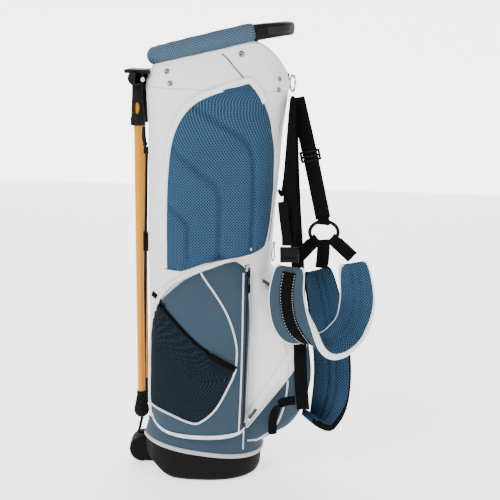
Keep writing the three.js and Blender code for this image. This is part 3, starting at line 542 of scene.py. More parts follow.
def rounded_block(name, low, high, radius, material, turn=None, segments=3):
    """Box with rounded edges, optionally turned about its centre."""
    centre = (low + high) / 2
    half = (high - low) / 2
    mesh = bmesh.new()
    bmesh.ops.create_cube(mesh, size=2)
    for vertex in mesh.verts:
        vertex.co = Vector((vertex.co.x * half.x, vertex.co.y * half.y, vertex.co.z * half.z))
    bmesh.ops.bevel(mesh, geom=mesh.edges[:], offset=radius, segments=segments, affect="EDGES", profile=0.5)
    for vertex in mesh.verts:
        place = turn @ vertex.co if turn else vertex.co
        vertex.co = (place + centre) * MM
    data = bpy.data.meshes.new(name)
    mesh.to_mesh(data)
    mesh.free()
    data.materials.append(material)
    data.shade_smooth()
    piece = bpy.data.objects.new(name, data)
    bpy.context.scene.collection.objects.link(piece)
    return piece


def joined(name, pieces):
    """Several pieces as one object."""
    bpy.ops.object.select_all(action="DESELECT")
    for piece in pieces:
        piece.select_set(True)
    bpy.context.view_layer.objects.active = pieces[0]
    bpy.ops.object.join()
    pieces[0].name = name
    pieces[0].data.name = name
    return pieces[0]


def cut_away(piece, tools):
    """Takes the tools' shapes out of a piece and removes them."""
    for tool in tools:
        modifier = piece.modifiers.new("cut", "BOOLEAN")
        modifier.operation = "DIFFERENCE"
        modifier.object = tool
        modifier.solver = "EXACT"
    apply_modifiers(piece)
    for tool in tools:
        bpy.data.objects.remove(tool)
    return piece


class Skin:
    """Finds the point of a piece's surface that lies straight in from one side."""

    def __init__(self, *pieces):
        points = []
        faces = []
        for piece in pieces:
            start = len(points)
            points += [vertex.co / MM for vertex in piece.data.vertices]
            faces += [tuple(start + index for index in polygon.vertices) for polygon in piece.data.polygons]
        self.tree = BVHTree.FromPolygons(points, faces)

    def hit(self, across, z, side="near"):
        starts = {
            "near": (Vector((across, -900, z)), Vector((0, 1, 0))),
            "far": (Vector((across, 900, z)), Vector((0, -1, 0))),
            "spine": (Vector((900, across, z)), Vector((-1, 0, 0))),
            "legs": (Vector((-900, across, z)), Vector((1, 0, 0))),
        }
        start, direction = starts[side]
        place, normal, _index, _distance = self.tree.ray_cast(start, direction)
        if place is None:
            place, normal, _index, _distance = self.tree.find_nearest(Vector((across, -130, z)))
        if normal.dot(direction) > 0:
            normal = -normal
        return place, normal

    def path(self, outline, samples, side="near", lift=0.0, closed=False):
        flat = [Vector((across, 0, z)) for across, z in outline]
        places = []
        normals = []
        for point in spline(flat, samples, closed):
            place, normal = self.hit(point.x, point.z, side)
            places.append(place + normal * lift)
            normals.append(normal)
        return places, normals


# ---- The plan of the bag ------------------------------------------------------------------------

ROUNDNESS = 2.4
# Height, centre, half width, half depth, and the flat on the leg side.
BODY_LEVELS = [
    (30, 6, 121, 107, -112),
    (76, 6, 121, 107, -110),
    (112, 6, 121, 107, -101),
    (330, 8, 121, 107, -101),
    (450, 9, 121, 107, -109),
    (700, 14, 129, 108, -113),
    (780, 15, 136, 109, -118),
]
TUBE_TOP = 780
BAND_TOP = 122
RIM_CENTRE, RIM_HALF_WIDTH, RIM_HALF_DEPTH = 21, 128, 92
RIM_HEIGHT, RIM_SLOPE = 866, 0.27
SLEEVE_RADIUS = 17
HANDLE_ANGLE = 66


def smooth_rows(rows, z):
    """Row values at height z, eased between the listed rows; the first entry is the height."""
    if z <= rows[0][0]:
        return rows[0][1:]
    for low, high in zip(rows, rows[1:]):
        if z <= high[0]:
            part = (z - low[0]) / (high[0] - low[0])
            return tuple(a + (b - a) * part for a, b in zip(low[1:], high[1:]))
    return rows[-1][1:]


def body_point(degrees, z, offset=0.0):
    """Point on the wall: 0 degrees at the spine, 90 on the near side, 180 at the legs."""
    centre, half_width, half_depth, leg_flat = smooth_rows(BODY_LEVELS, z)
    cos = math.cos(math.radians(degrees))
    sin = math.sin(math.radians(degrees))
    normal = Vector((power(cos, 2 - 2 / ROUNDNESS) / half_width,
                     -power(sin, 2 - 2 / ROUNDNESS) / half_depth, 0)).normalized()
    point = Vector((centre + half_width * power(cos, 2 / ROUNDNESS),
                    -half_depth * power(sin, 2 / ROUNDNESS), z))
    point += normal * offset
    point.x = max(point.x, leg_flat - offset)
    return point


def hem_height(x):
    return 61 - 0.12 * x


def rim_point(degrees):
    x = RIM_CENTRE + RIM_HALF_WIDTH * power(math.cos(math.radians(degrees)), 2 / ROUNDNESS)
    y = -RIM_HALF_DEPTH * power(math.sin(math.radians(degrees)), 2 / ROUNDNESS)
    return Vector((x, y, RIM_HEIGHT + RIM_SLOPE * x))


def collar_edge(point):
    under_sleeve = RIM_HEIGHT + RIM_SLOPE * point.x - SLEEVE_RADIUS
    under_handle = 869 - 0.0108 * max(point.x - 75, 0) ** 2
    return min(under_sleeve, under_handle)


def wall_point(degrees, z, offset=0.0):
    """Point on the wall that goes on up the leaning collar."""
    if z <= TUBE_TOP:
        return body_point(degrees, z, offset)
    foot = body_point(degrees, TUBE_TOP)
    head = rim_point(degrees)
    head.z = collar_edge(head)
    point = foot.lerp(head, (z - TUBE_TOP) / (head.z - TUBE_TOP))
    return point + (body_point(degrees, TUBE_TOP, 1) - foot) * (offset + 1.5)


def handle_point(degrees):
    point = rim_point(degrees)
    point.z = 886 + (point.x - rim_point(HANDLE_ANGLE).x) * 0.17
    return point


def wrinkle(point, size, amount):
    return amount * noise.noise(point / size)


def side_prism(name, outline, half_width):
    """Prism of an X and Z outline, used as a cutting tool."""
    count = len(outline)
    points = [Vector((x, side * half_width, z)) for side in (-1, 1) for x, z in outline]
    faces = [tuple(range(count)), tuple(range(2 * count - 1, count - 1, -1))]
    faces += [(i, count + i, count + (i + 1) % count, (i + 1) % count) for i in range(count)]
    piece = build_object(name, points, faces, None, PLASTIC, smooth=False)
    recalculate(piece)
    return piece


def block_tool(name, low, high):
    outline = [(low[0], low[2]), (high[0], low[2]), (high[0], high[2]), (low[0], high[2])]
    tool = side_prism(name, outline, (high[1] - low[1]) / 2)
    tool.data.transform(Matrix.Translation(Vector((0, (high[1] + low[1]) / 2, 0)) * MM))
    return tool


# ---- Boot and tube ------------------------------------------------------------------------------

BAY_DEPTH, BAY_HALF_WIDTH, BAY_TOP, BAY_WALL = -72, 32, 92, 3
BEVEL_START, BEVEL_RISE = -46, math.tan(math.radians(32))


def make_boot():
    """Moulded cup with a rolled lower edge, cut back on the leg side and recessed for the pedal."""
    rows = [(0.0, 0, 0.0), (0.5, 0, 0.0), (1.0, -12, 0.0), (1.0, -7, 1.0), (1.0, -3, 4.0), (1.0, -0.8, 9.0)]
    rows += [(1.0, 0.0, 16.0), (1.0, 0.6, 0.6), (1.0, 0.9, 0.92), (1.0, 0.0, 1.0)]
    rows += [(1.0, -3.5, 1.0), (1.0, -3.8, 10.0), (0.5, -3.8, 8.0), (0.0, -3.8, 8.0)]
    wall_rows = (7, 8, 9, 10)

    def surface(u, v):
        index = round(v * (len(rows) - 1))
        scale, offset, level = rows[index]
        point = body_point(u * 360, 30, offset)
        level = level * (hem_height(point.x) - 0.6) if index in wall_rows else level
        return Vector((point.x * scale, point.y * scale, level))

    boot = grid_surface("boot_shell", surface, 144, len(rows) - 1, BOOT, closed=True)
    mesh = bmesh.new()
    mesh.from_mesh(boot.data)
    bmesh.ops.remove_doubles(mesh, verts=mesh.verts, dist=1e-5)
    bmesh.ops.recalc_face_normals(mesh, faces=mesh.faces)
    mesh.to_mesh(boot.data)
    mesh.free()
    block = BAY_HALF_WIDTH + BAY_WALL
    walls = block_tool("bay_walls", (-109, -block, 2), (BAY_DEPTH + BAY_WALL, block, BAY_TOP + BAY_WALL))
    union = boot.modifiers.new("bay", "BOOLEAN")
    union.operation = "UNION"
    union.object = walls
    union.solver = "EXACT"
    apply_modifiers(boot)
    bpy.data.objects.remove(walls)
    far_edge = -170
    wedge = side_prism("underside", [
        (BEVEL_START, -5),
        (BEVEL_START, 0),
        (-70, 0.42 * (BEVEL_START + 70) * BEVEL_RISE * 1.6),
        (far_edge, (BEVEL_START - far_edge) * BEVEL_RISE),
        (far_edge, -5),
    ], 130)
    room = block_tool("bay_room", (far_edge, -BAY_HALF_WIDTH, -5), (BAY_DEPTH, BAY_HALF_WIDTH, BAY_TOP))
    pedal_room = side_prism("pedal_room", [
        (-36, -5),
        (-36, 15),
        (BAY_DEPTH - 1, 33),
        (BAY_DEPTH - 1, -5),
    ], BAY_HALF_WIDTH)
    cut_away(boot, [wedge, room, pedal_room])
    boot.data.shade_smooth()
    keep_edges(boot)
    finish_piece(boot, "root", "black_plastic", "base_boot")


def keep_edges(piece, degrees=35):
    """Smooth shading that still breaks at the sharp edges."""
    piece.data.set_sharp_from_angle(angle=math.radians(degrees))


def tube_surface(low, high):
    def surface(u, v):
        degrees = u * 360
        foot = body_point(degrees, 76)
        start = hem_height(foot.x) + 1 if low == 0 else low
        point = body_point(degrees, start + (high - start) * v)
        fade = min(1.0, 6 * v, 6 * (1 - v))
        outward = Vector((point.x - 8, point.y, 0)).normalized()
        return point + outward * (0.2 + fade * wrinkle(point, 90, 1.6))
    return surface


def bay_opening():
    edge = BAY_HALF_WIDTH + BAY_WALL + 0.3
    return block_tool("bay_opening", (-160, -edge, -10), (-50, edge, BAY_TOP + BAY_WALL + 0.3))


def make_tube():
    band = grid_surface("lower_band", tube_surface(0, BAND_TOP), 180, 12, SLATE, closed=True, thickness=3)
    cut_away(band, [bay_opening()])
    keep_edges(band)
    finish_piece(band, "root", "slate_fabric", "body_panel_leg")
    tube = grid_surface("fabric_tube", tube_surface(BAND_TOP, TUBE_TOP), 240, 150, WHITE, closed=True, thickness=3)
    finish_piece(tube, "root", "white_fabric", "body_panel_front", "body_panel_back", "body_panel_spine")
    return band, tube


def make_collar():
    def surface(u, v):
        degrees = u * 360
        foot = body_point(degrees, TUBE_TOP)
        head = rim_point(degrees)
        head.z = collar_edge(head)
        point = foot.lerp(head, v)
        outward = Vector((point.x - 20, point.y, 0)).normalized()
        return point + outward * (0.3 + 3.2 * math.sin(math.pi * v) + wrinkle(point, 60, 0.8) * math.sin(math.pi * v))

    collar = grid_surface("collar_fabric", surface, 240, 26, WHITE, closed=True, thickness=3)
    finish_piece(collar, "root", "white_fabric", "collar_wall")
    edge = [surface(i / 120, 1) for i in range(120)]
    edge = [point + Vector((0, 0, -2)) for point in edge]
    binding = sweep("collar_binding", edge, Vector((0, 0, 1)), 5, 2.6, WHITE, 10, 2.6, True)
    finish_piece(binding, "root", "white_fabric")
    return collar


def make_hem_piping():
    path = []
    for i in range(150):
        degrees = 199 + i / 149 * (360 - 38)
        point = body_point(degrees, 76, 3.0)
        point.z = hem_height(point.x) + 1.5
        path.append(point)
    piping = sweep("hem_piping", path, Vector((0, 0, 1)), 4.6, 2.9, GREY_PIPING, 12)
    finish_piece(piping, "root", "grey_piping", "base_piping")


# ---- Mouth --------------------------------------------------------------------------------------

HOOP_CENTRE, HOOP_HALF_WIDTH, HOOP_HALF_DEPTH = 21, 84, 70


def make_sleeve():
    count = 130
    start = HANDLE_ANGLE + 0.4
    path = [rim_point(start + i / (count - 1) * (360 - 2 * start)) for i in range(count)]

    def girth(part):
        edge = min(part, 1 - part)
        return SLEEVE_RADIUS * (1 - 0.13 * math.exp(-edge * 90)) + 0.35 * math.sin(part * 74) * min(1, edge * 20)

    # The sleeve wears the lightened copy of the blue mesh: a painted highlight.
    sleeve = sweep("mouth_sleeve", path, Vector((0, 0, 1)), girth, lambda part: girth(part) - 1.5, SLEEVE_MESH_PAINTED_HIGHLIGHT, 32)
    finish_piece(sleeve, "root", "blue_mesh", "collar_sleeve")


def make_mouth_frame():
    hoop_path = []
    for i in range(120):
        angle = i / 120 * 2 * math.pi
        x = HOOP_CENTRE + HOOP_HALF_WIDTH * power(math.cos(angle), 2 / ROUNDNESS)
        y = -HOOP_HALF_DEPTH * power(math.sin(angle), 2 / ROUNDNESS)
        hoop_path.append(Vector((x, y, RIM_HEIGHT + RIM_SLOPE * x)))
    hoop = sweep("mouth_hoop", hoop_path, Vector((0, 0, 1)), 12, 3, PLASTIC, 16, 4.5, True)
    bar_path = [handle_point(HANDLE_ANGLE - 0.4 - i / 80 * 2 * (HANDLE_ANGLE - 0.4)) for i in range(81)]

    def height(part):
        return 13.1 + 2 * abs(2 * part - 1) ** 2

    def depth(part):
        return 12.4 - 1.4 * abs(2 * part - 1)

    bar = sweep("carry_bar", bar_path, Vector((0, 0, 1)), height, depth, PLASTIC, 24, 3.4)
    shoulders = [
        rounded_block("shoulder", Vector((91, side * 58 - 24, 881)), Vector((105, side * 58 + 24, 895)), 3, PLASTIC)
        for side in (-1, 1)
    ]
    body = joined("mouth_frame", [hoop, bar] + shoulders)
    finish_piece(body, "root", "black_plastic", "collar_frame")
    for word, first, last in (("near", 7, 27), ("far", 53, 73)):
        stretch = bar_path[first:last]
        grip = sweep(
            f"bar_grip_{word}",
            stretch,
            Vector((0, 0, 1)),
            lambda part, first=first, last=last: height((first + (last - first) * part) / 80) * 0.72,
            lambda part, first=first, last=last: depth((first + (last - first) * part) / 80) + 0.7,
            GREY_PLASTIC,
            24,
            3.4,
        )
        finish_piece(grip, "root", "black_plastic")


def make_dividers():
    lean = Vector((1, 0, RIM_SLOPE)).normalized()
    middle = Vector((HOOP_CENTRE, 0, RIM_HEIGHT + RIM_SLOPE * HOOP_CENTRE - 2))
    along = [middle + lean * (HOOP_HALF_WIDTH - 3.6) * 1.02 * (i / 20 - 1) for i in range(41)]
    across = [middle + Vector((0, (HOOP_HALF_DEPTH - 3.6) * (i / 20 - 1), 0)) for i in range(41)]
    bars = [
        sweep("divider_long", along, Vector((0, 0, 1)), 7.9, 4.4, LINING, 16, 3),
        sweep("divider_short", across, Vector((0, 0, 1)), 7.9, 4.4, LINING, 16, 3),
    ]
    cross = joined("divider_bars", bars)
    finish_piece(cross, "root", "dark_lining", "divider_cross")

    def sheet(u, v):
        x = -60 + u * 152 + (v < 0.1) * u * 10
        top = RIM_HEIGHT + RIM_SLOPE * x - 13
        low = 40 if x < -26 else 9
        z = low + (top - low) * v
        return Vector((x, 1.2 * math.sin(u * 9) * math.sin(math.pi * v), z))

    web = grid_surface("divider_web", sheet, 40, 60, LINING, thickness=1.2)
    finish_piece(web, "root", "dark_lining", "divider_sheet")
    for name, degrees in (("near", 125), ("far", 235), ("spine", 0)):
        route = [body_point(degrees, z, -9) for z in range(66, 772, 16)]
        stay = round_cord(f"stay_{name}", route, 3.5, FIBRE, 16)
        finish_piece(stay, "root", "glass_fibre", f"stay_rod_{name}")


# ---- Legs and actuator --------------------------------------------------------------------------

LEG_PIVOT = Vector((-137, -40, 793))
LEG_END = Vector((-121, -40, 110))
LEG_SPLAY = math.radians(30)
ROD_X = -121
ROD_TOP = 646
ROD_FOOT = Vector((-131, 0, 58))
PEDAL_HINGE = Vector((-44, 0, 8))
BUMPER_CENTRE = Vector((-120, 0, 30))
BUMPER_RADIUS = 28


def leg_line(side, z):
    point = LEG_PIVOT.lerp(LEG_END, (LEG_PIVOT.z - z) / (LEG_PIVOT.z - LEG_END.z))
    return point if side < 0 else Vector((point.x, -point.y, point.z))


def pivot_axis(side):
    return Vector((side * math.sin(LEG_SPLAY), math.cos(LEG_SPLAY), 0))


def make_leg(side, word):
    body = f"leg_{word}"
    top = leg_line(side, 786)
    foot = leg_line(side, 705)
    length = (foot - top).length
    profile = [(7, 0), (9.2, 0.8), (10, 3), (10.6, 22), (11.6, 40), (12.4, 60), (13.2, 66), (14, 68)]
    profile += [(14, length - 2), (13.4, length), (8.6, length), (8.1, length - 2), (8.1, 22), (3, 20)]
    socket = lathe("socket_body", top, foot, profile, PLASTIC)
    window_place = leg_line(side, 738)
    window = lathe("window", Vector((0, -26, 0)), Vector((0, 26, 0)), [(5, 0), (5, 22)], PLASTIC, 32)
    window.data.transform(Matrix.Diagonal((1, 1, 2.3, 1)))
    window.data.transform(Matrix.Translation(Vector((window_place.x, window_place.y + (4 if side > 0 else 0), window_place.z)) * MM))
    if side > 0:
        window.data.transform(Matrix.Translation(Vector((0, 26, 0)) * MM))
    cut_away(socket, [window])
    keep_edges(socket)
    pivot = leg_line(side, LEG_PIVOT.z)
    half = pivot_axis(side) * 8.5
    head = lathe("socket_head", pivot - half, pivot + half, [(3, 0), (7.6, 0), (8.5, 1), (8.5, 16), (7.6, 17), (3, 17)], PLASTIC)
    piece = joined(f"socket_{word}", [socket, head])
    keep_edges(piece)
    finish_piece(piece, body, "black_plastic", f"leg_socket_{word}")
    tube_profile = [(6.9, 0), (7.5, 0.8), (7.5, 607), (6.9, 608)]
    tube = lathe(f"tube_{word}", leg_line(side, 766), leg_line(side, 158), tube_profile, YELLOW)
    keep_edges(tube)
    finish_piece(tube, body, "yellow_tube", f"leg_tube_{word}")
    shoe_profile = [(2, 0), (6, 0.6), (10, 3), (13.4, 7), (15.2, 12), (15.5, 15), (15.0, 20), (14.0, 25)]
    for i in range(5):
        z = 27 + i * 4
        shrink = 13.2 - i * 0.75
        shoe_profile += [(shrink, z), (shrink, z + 2.2), (shrink - 1.2, z + 2.6), (shrink - 1.2, z + 3.6)]
    shoe_profile += [(9.5, 48), (9.4, 55.5), (8.9, 56), (7.6, 56)]
    shoe = lathe(f"shoe_{word}", leg_line(side, 110), leg_line(side, 166), shoe_profile, RUBBER)
    keep_edges(shoe)
    finish_piece(shoe, body, "rubber", f"leg_foot_{word}")
    pin_reach = pivot_axis(side) * 24
    pin_profile = [(2, -2), (4.2, -1.6), (4.6, 0), (2.5, 0), (2.5, 48), (4.6, 48), (4.2, 49.6), (2, 50)]
    pin = lathe(f"pivot_pin_{word}", pivot - pin_reach, pivot + pin_reach, pin_profile, STEEL, 32)
    keep_edges(pin)
    finish_piece(pin, "root", "steel", f"bracket_pin_{word}")
    reach = Vector((-14, side * 40, 68))
    start = Vector((ROD_X, 0, ROD_TOP + 4))
    direction = reach.normalized()
    arm_start = start + direction * 14
    arm_length = reach.length - 26 - 14
    arm_profile = [(2, 0), (3.4, 0.5), (3.8, 4), (2.6, 7), (2.6, arm_length - 7), (3.6, arm_length - 4), (3, arm_length)]
    arm = lathe(f"arm_{word}", arm_start, arm_start + direction, arm_profile, PLASTIC, 24)
    keep_edges(arm)
    finish_piece(arm, f"arm_{word}", "black_plastic", f"yoke_arm_{word}")


def make_bracket():
    blocks = [
        (Vector((-128, -24, 738)), Vector((-119.5, 24, 800))),
        (Vector((-160, -62, 803.5)), Vector((-113, 62, 811))),
        (Vector((-128, -24, 795)), Vector((-116, 24, 808))),
    ]
    blocks += [(Vector((-140, y - 3, 784)), Vector((-124, y + 3, 806))) for y in (-59, -20, 20, 59)]
    pieces = [rounded_block("bracket_block", low, high, 1.8, PLASTIC) for low, high in blocks]
    profile = [(0, 0), (13, 0), (15, 1.5), (15, 4.5), (13, 6), (0, 6)]
    for y in (-62, -23, 17, 56):
        start = Vector((-138, y, 795))
        pieces.append(lathe("knuckle", start, start + Vector((0, 1, 0)), profile, PLASTIC, 40))
    bracket = joined("leg_hanger", pieces)
    finish_piece(bracket, "root", "black_plastic", "leg_bracket")


def make_actuator():
    route = [Vector((ROD_X, 0, ROD_TOP)), Vector((ROD_X, 0, 400)), Vector((ROD_X, 0, 124)), Vector((ROD_X - 1, 0, 104)), ROD_FOOT]
    rod = round_cord("push_rod", spline(route, 90), 3, PLASTIC, 20)
    finish_piece(rod, "rod", "black_plastic", "actuator_rod")
    low = Vector((ROD_X - 6, -7, ROD_TOP + 0.4))
    joiner = rounded_block("rod_yoke", low, Vector((ROD_X + 5, 7, ROD_TOP + 14)), 2.2, PLASTIC)
    finish_piece(joiner, "rod", "black_plastic", "rod_joiner")
    guide = rounded_block("rod_clip", Vector((ROD_X - 8, -13, 451)), Vector((-110.2, 13, 488)), 2.6, PLASTIC)
    hole = lathe("hole", Vector((ROD_X, 0, 440)), Vector((ROD_X, 0, 500)), [(3.9, 0), (3.9, 60)], PLASTIC, 32)
    cut_away(guide, [hole])
    keep_edges(guide)
    finish_piece(guide, "root", "black_plastic", "rod_guide")


def make_pedal():
    plate = rounded_block("plate", Vector((-116, -25, 5)), Vector((-47, 25, 10)), 1.2, PLASTIC)
    ribs = [rounded_block("rib", Vector((-84, y - 1.2, 9.5)), Vector((-50, y + 1.2, 12)), 0.5, PLASTIC) for y in (-18, -6, 6, 18)]
    barrel = lathe("barrel", Vector((-44, -25, 8)), Vector((-44, 25, 8)), [(2.3, 0), (4.6, 0), (5, 0.5), (5, 49.5), (4.6, 50), (2.3, 50)], PLASTIC, 32)
    pedal = joined("pedal", [plate, barrel] + ribs)
    keep_edges(pedal)
    finish_piece(pedal, "pedal", "black_plastic", "pedal_plate")
    pin = lathe("pedal_axle", Vector((-44, -31.6, 8)), Vector((-44, 31.6, 8)), [(1.6, 0), (2, 0.4), (2, 62.8), (1.6, 63.2)], STEEL, 24)
    finish_piece(pin, "root", "steel", "pedal_pin")

    def surface(u, v):
        angle = u * 2 * math.pi
        y = -25 + 50 * v
        edge = min(v, 1 - v) * 50
        rolled = BUMPER_RADIUS - 3 * max(0.0, 1 - edge / 4) ** 2
        scallop = 0.9 * abs(math.sin(angle * 13))
        return BUMPER_CENTRE + Vector(((rolled - scallop) * math.cos(angle), y, (rolled - scallop) * math.sin(angle)))

    drum = grid_surface("heel_block", surface, 208, 26, RUBBER, closed=True)
    mesh = bmesh.new()
    mesh.from_mesh(drum.data)
    bmesh.ops.holes_fill(mesh, edges=[edge for edge in mesh.edges if edge.is_boundary], sides=0)
    bmesh.ops.recalc_face_normals(mesh, faces=mesh.faces)
    mesh.to_mesh(drum.data)
    mesh.free()
    slot = block_tool("plate_slot", (-116.3, -40, -20), (-60, 40, 10.4))
    rod_room = block_tool("rod_room", (-138, -6, 54), (-109, 6, 70))
    cut_away(drum, [slot, rod_room])
    keep_edges(drum)
    finish_piece(drum, "pedal", "rubber", "pedal_bumper")


# ---- Edgings and stitches -----------------------------------------------------------------------

def edging(name, path, normals, offsets, radius, material, slot):
    """Round cords beside each other along a path that lies on a surface."""
    cords = []
    for number, offset in enumerate(offsets):
        shifted = []
        for i, (point, normal) in enumerate(zip(path, normals)):
            after = path[min(i + 1, len(path) - 1)]
            before = path[max(i - 1, 0)]
            side = (after - before).cross(normal).normalized()
            shifted.append(point + side * offset)
        cords.append(round_cord(f"{name}_{number}", shifted, radius, material, 8))
    return finish_piece(joined(name, cords), "root", slot)


def stitches(name, path, normals, offset, pitch, material, slot):
    """Row of separate stitches along a path."""
    points = []
    faces = []
    travelled = 0.0
    for i in range(1, len(path)):
        span = path[i] - path[i - 1]
        travelled += span.length
        if travelled < pitch:
            continue
        travelled = 0.0
        along = span.normalized()
        side = along.cross(normals[i]).normalized()
        centre = path[i] + side * offset
        base = len(points)
        half = pitch * 0.33
        for end in (-half, half):
            for across, up in ((-0.45, 0), (0, 0.45), (0.45, 0), (0, -0.3)):
                points.append(centre + along * end + side * across + normals[i] * up)
        faces += [(base + k, base + (k + 1) % 4, base + 4 + (k + 1) % 4, base + 4 + k) for k in range(4)]
        faces += [(base + 3, base + 2, base + 1, base), (base + 4, base + 5, base + 6, base + 7)]
    piece = build_object(name, points, faces, None, material)
    return finish_piece(piece, "root", slot)


def flat_band(name, path, normals, half_width, half_thickness, material, slot):
    """Flat tape that lies on a surface along a path."""
    widths = []
    for i, normal in enumerate(normals):
        after = path[min(i + 1, len(path) - 1)]
        before = path[max(i - 1, 0)]
        widths.append((after - before).cross(normal).normalized())
    band = sweep(name, path, widths, half_width, half_thickness, material, 12, 3.6)
    return finish_piece(band, "root", slot)


def dome(name, place, normal, radius, height, material, slot):
    """Rivet with a rolled edge and a dished middle."""
    profile = [(radius * 0.7, -1.5), (radius, -1.2), (radius, height * 0.35), (radius * 0.9, height * 0.8)]
    profile += [(radius * 0.7, height), (radius * 0.5, height * 0.92), (radius * 0.3, height * 0.7), (0.3, height * 0.66)]
    piece = lathe(name, place, place + normal, profile, material, 32)
    keep_edges(piece, 50)
    return finish_piece(piece, "root", slot)


# ---- Side pockets and hip pad -------------------------------------------------------------------

# Height, and the angles of the left and right edge there.
POCKET_ROWS = [
    (96, 102, 74), (108, 126, 56), (130, 138, 52), (170, 143, 52), (300, 143, 52),
    (364, 133, 53), (412, 110, 56), (444, 88, 60), (456, 78, 68),
]
HIP_PAD_ROWS = [
    (434, 129, 110), (452, 129, 92), (460, 129, 80), (470, 129, 52), (484, 129, 34), (580, 129, 27),
    (640, 128, 30), (673, 126, 33), (700, 121, 38), (725, 115, 43), (745, 108.5, 48.5), (762, 101.5, 54),
    (776, 93, 59), (788, 84, 64), (797, 77, 69),
]
POCKET_DEPTH = 26
POCKET_BORDER = [
    (118, 488), (100, 480), (57, 464), (0, 441), (-42, 421), (-66, 402), (-84, 374), (-95, 337),
    (-99, 300), (-100, 230), (-99, 166), (-92, 128), (-68, 108), (-20, 102), (30, 102), (72, 106), (86, 112),
]
ELASTIC_LINE = [(-100, 378), (-83, 368), (-41, 326), (-6, 293), (28, 271), (61, 252), (68, 247)]
POUCH_LOW_LINE = [(-100, 163), (-60, 151), (-18, 136), (2, 138), (31, 166), (57, 218), (68, 247)]


def curved_rows(rows, z):
    """Row values at height z on a smooth curve through the listed rows."""
    z = min(max(z, rows[0][0]), rows[-1][0])
    index = 0
    while index < len(rows) - 2 and z > rows[index + 1][0]:
        index += 1
    low, high = rows[index], rows[index + 1]
    span = high[0] - low[0]
    part = (z - low[0]) / span

    def slope(at, column):
        before, after = rows[max(at - 1, 0)], rows[min(at + 1, len(rows) - 1)]
        return (after[column] - before[column]) / (after[0] - before[0])

    values = []
    for column in range(1, len(low)):
        start, end = low[column], high[column]
        first, second = slope(index, column) * span, slope(index + 1, column) * span
        square, cube = part ** 2, part ** 3
        values.append((2 * cube - 3 * square + 1) * start + (cube - 2 * square + part) * first
                      + (3 * square - 2 * cube) * end + (cube - square) * second)
    return values


def eased(part):
    """Puts more steps near both ends."""
    return 0.5 - 0.5 * math.cos(math.pi * part)


def raised_patch(name, rows, depth, edge, steps_u, steps_v, material, relief):
    """Padded patch on the wall; relief(point) is added to its height above the wall."""
    low, high = rows[0][0], rows[-1][0]

    def at(u, v):
        u, v = eased(u), eased(v)
        z = low + (high - low) * v
        left, right = curved_rows(rows, z)
        bulge = max((1 - (2 * u - 1) ** 4) * (1 - (2 * v - 1) ** 6), 0) ** 0.5
        return left + (right - left) * u, z, bulge

    def outer(u, v):
        degrees, z, bulge = at(u, v)
        level = 0.4 + edge + (depth - edge) * bulge
        point = wall_point(degrees, z, level)
        return wall_point(degrees, z, level + relief(point) * bulge)

    def inner(u, v):
        degrees, z, _bulge = at(u, v)
        return wall_point(degrees, z, 0.3)

    return raised_solid(name, inner, outer, steps_u, steps_v, material)


def pocket_relief(point):
    return wrinkle(point, 75, 2.2) + wrinkle(point + Vector((50, 0, 0)), 28, 0.5) - 1.2


def make_near_pocket():
    pocket = raised_patch("near_pocket", POCKET_ROWS, POCKET_DEPTH, 2, 110, 130, SLATE, pocket_relief)
    finish_piece(pocket, "root", "slate_fabric", "side_pocket_near")
    return pocket


def make_mesh_pouch(pocket):
    skin = Skin(pocket)
    samples = 90
    top = spline([Vector((x, 0, z)) for x, z in ELASTIC_LINE], samples)
    bottom = spline([Vector((x, 0, z)) for x, z in POUCH_LOW_LINE], samples)

    def lifted(level):
        def surface(u, v):
            index = round(u * samples)
            flat = bottom[index].lerp(top[index], v)
            place, normal = skin.hit(flat.x, flat.z)
            puff = (1 - (2 * u - 1) ** 4) * math.sin(math.pi * min(v * 0.75, 1)) ** 0.7
            gather = 0.5 * math.sin(u * 130) * v ** 3 * (1 - u) ** 0.5
            return place + normal * (0.3 + level * (0.7 + 5.0 * puff + gather))
        return surface

    pouch = raised_solid("mesh_pouch", lifted(0), lifted(1), samples, 70, DARK_MESH)
    finish_piece(pouch, "root", "dark_mesh", "mesh_pocket")
    return pouch


def make_near_pocket_trim(pocket, pouch, tube, band):
    cloth = Skin(pocket, tube, band)
    face = Skin(pocket, pouch, tube)
    elastic_path, elastic_normals = face.path(ELASTIC_LINE, 80, lift=0.8)
    flat_band("pouch_elastic", elastic_path, elastic_normals, 5.6, 1.1, WEBBING, "black_webbing")
    low_path, low_normals = face.path(POUCH_LOW_LINE[::-1], 90, lift=1.0)
    edging("pouch_piping", low_path, low_normals, (0,), 2.2, WHITE_PIPING, "white_fabric")
    upper = [(-5, 437), (20, 404), (44, 366), (60, 327), (69, 285), (68, 247)]
    upper_path, upper_normals = cloth.path(upper, 60, lift=0.6)
    edging("pocket_curve_piping", upper_path, upper_normals, (0,), 2.0, WHITE_PIPING, "white_fabric")
    path, normals = cloth.path(POCKET_BORDER, 170, lift=1.4)
    flat_band("pocket_binding", path, normals, 6.2, 1.8, WHITE, "white_fabric")
    edging("pocket_binding_ridges", path, normals, (-3.4, 3.4), 2.3, WHITE_PIPING, "white_fabric")
    for word, x in (("left", 77), ("right", 92)):
        strip = [(x, 436), (x + 1, 360), (x + 2, 280), (x + 2, 190), (x + 1, 112)]
        strip_path, strip_normals = cloth.path(strip, 90, lift=0.8)
        edging(f"pocket_side_piping_{word}", strip_path, strip_normals, (0,), 1.8, WHITE_PIPING, "white_fabric")
        stitches(f"pocket_side_stitch_{word}", strip_path, strip_normals, -3.4, 3.4, BLUE_THREAD, "slate_fabric")
    seam_path, seam_normals = cloth.path([(88, 112), (88, 92), (88, 66)], 20, lift=0.5)
    edging("band_seam", seam_path, seam_normals, (0,), 1.5, WHITE_PIPING, "white_fabric")
    make_zip_chain("side_zip", [(84.5, 449), (84.8, 380), (85.5, 300), (85.5, 200), (85, 122)], cloth)


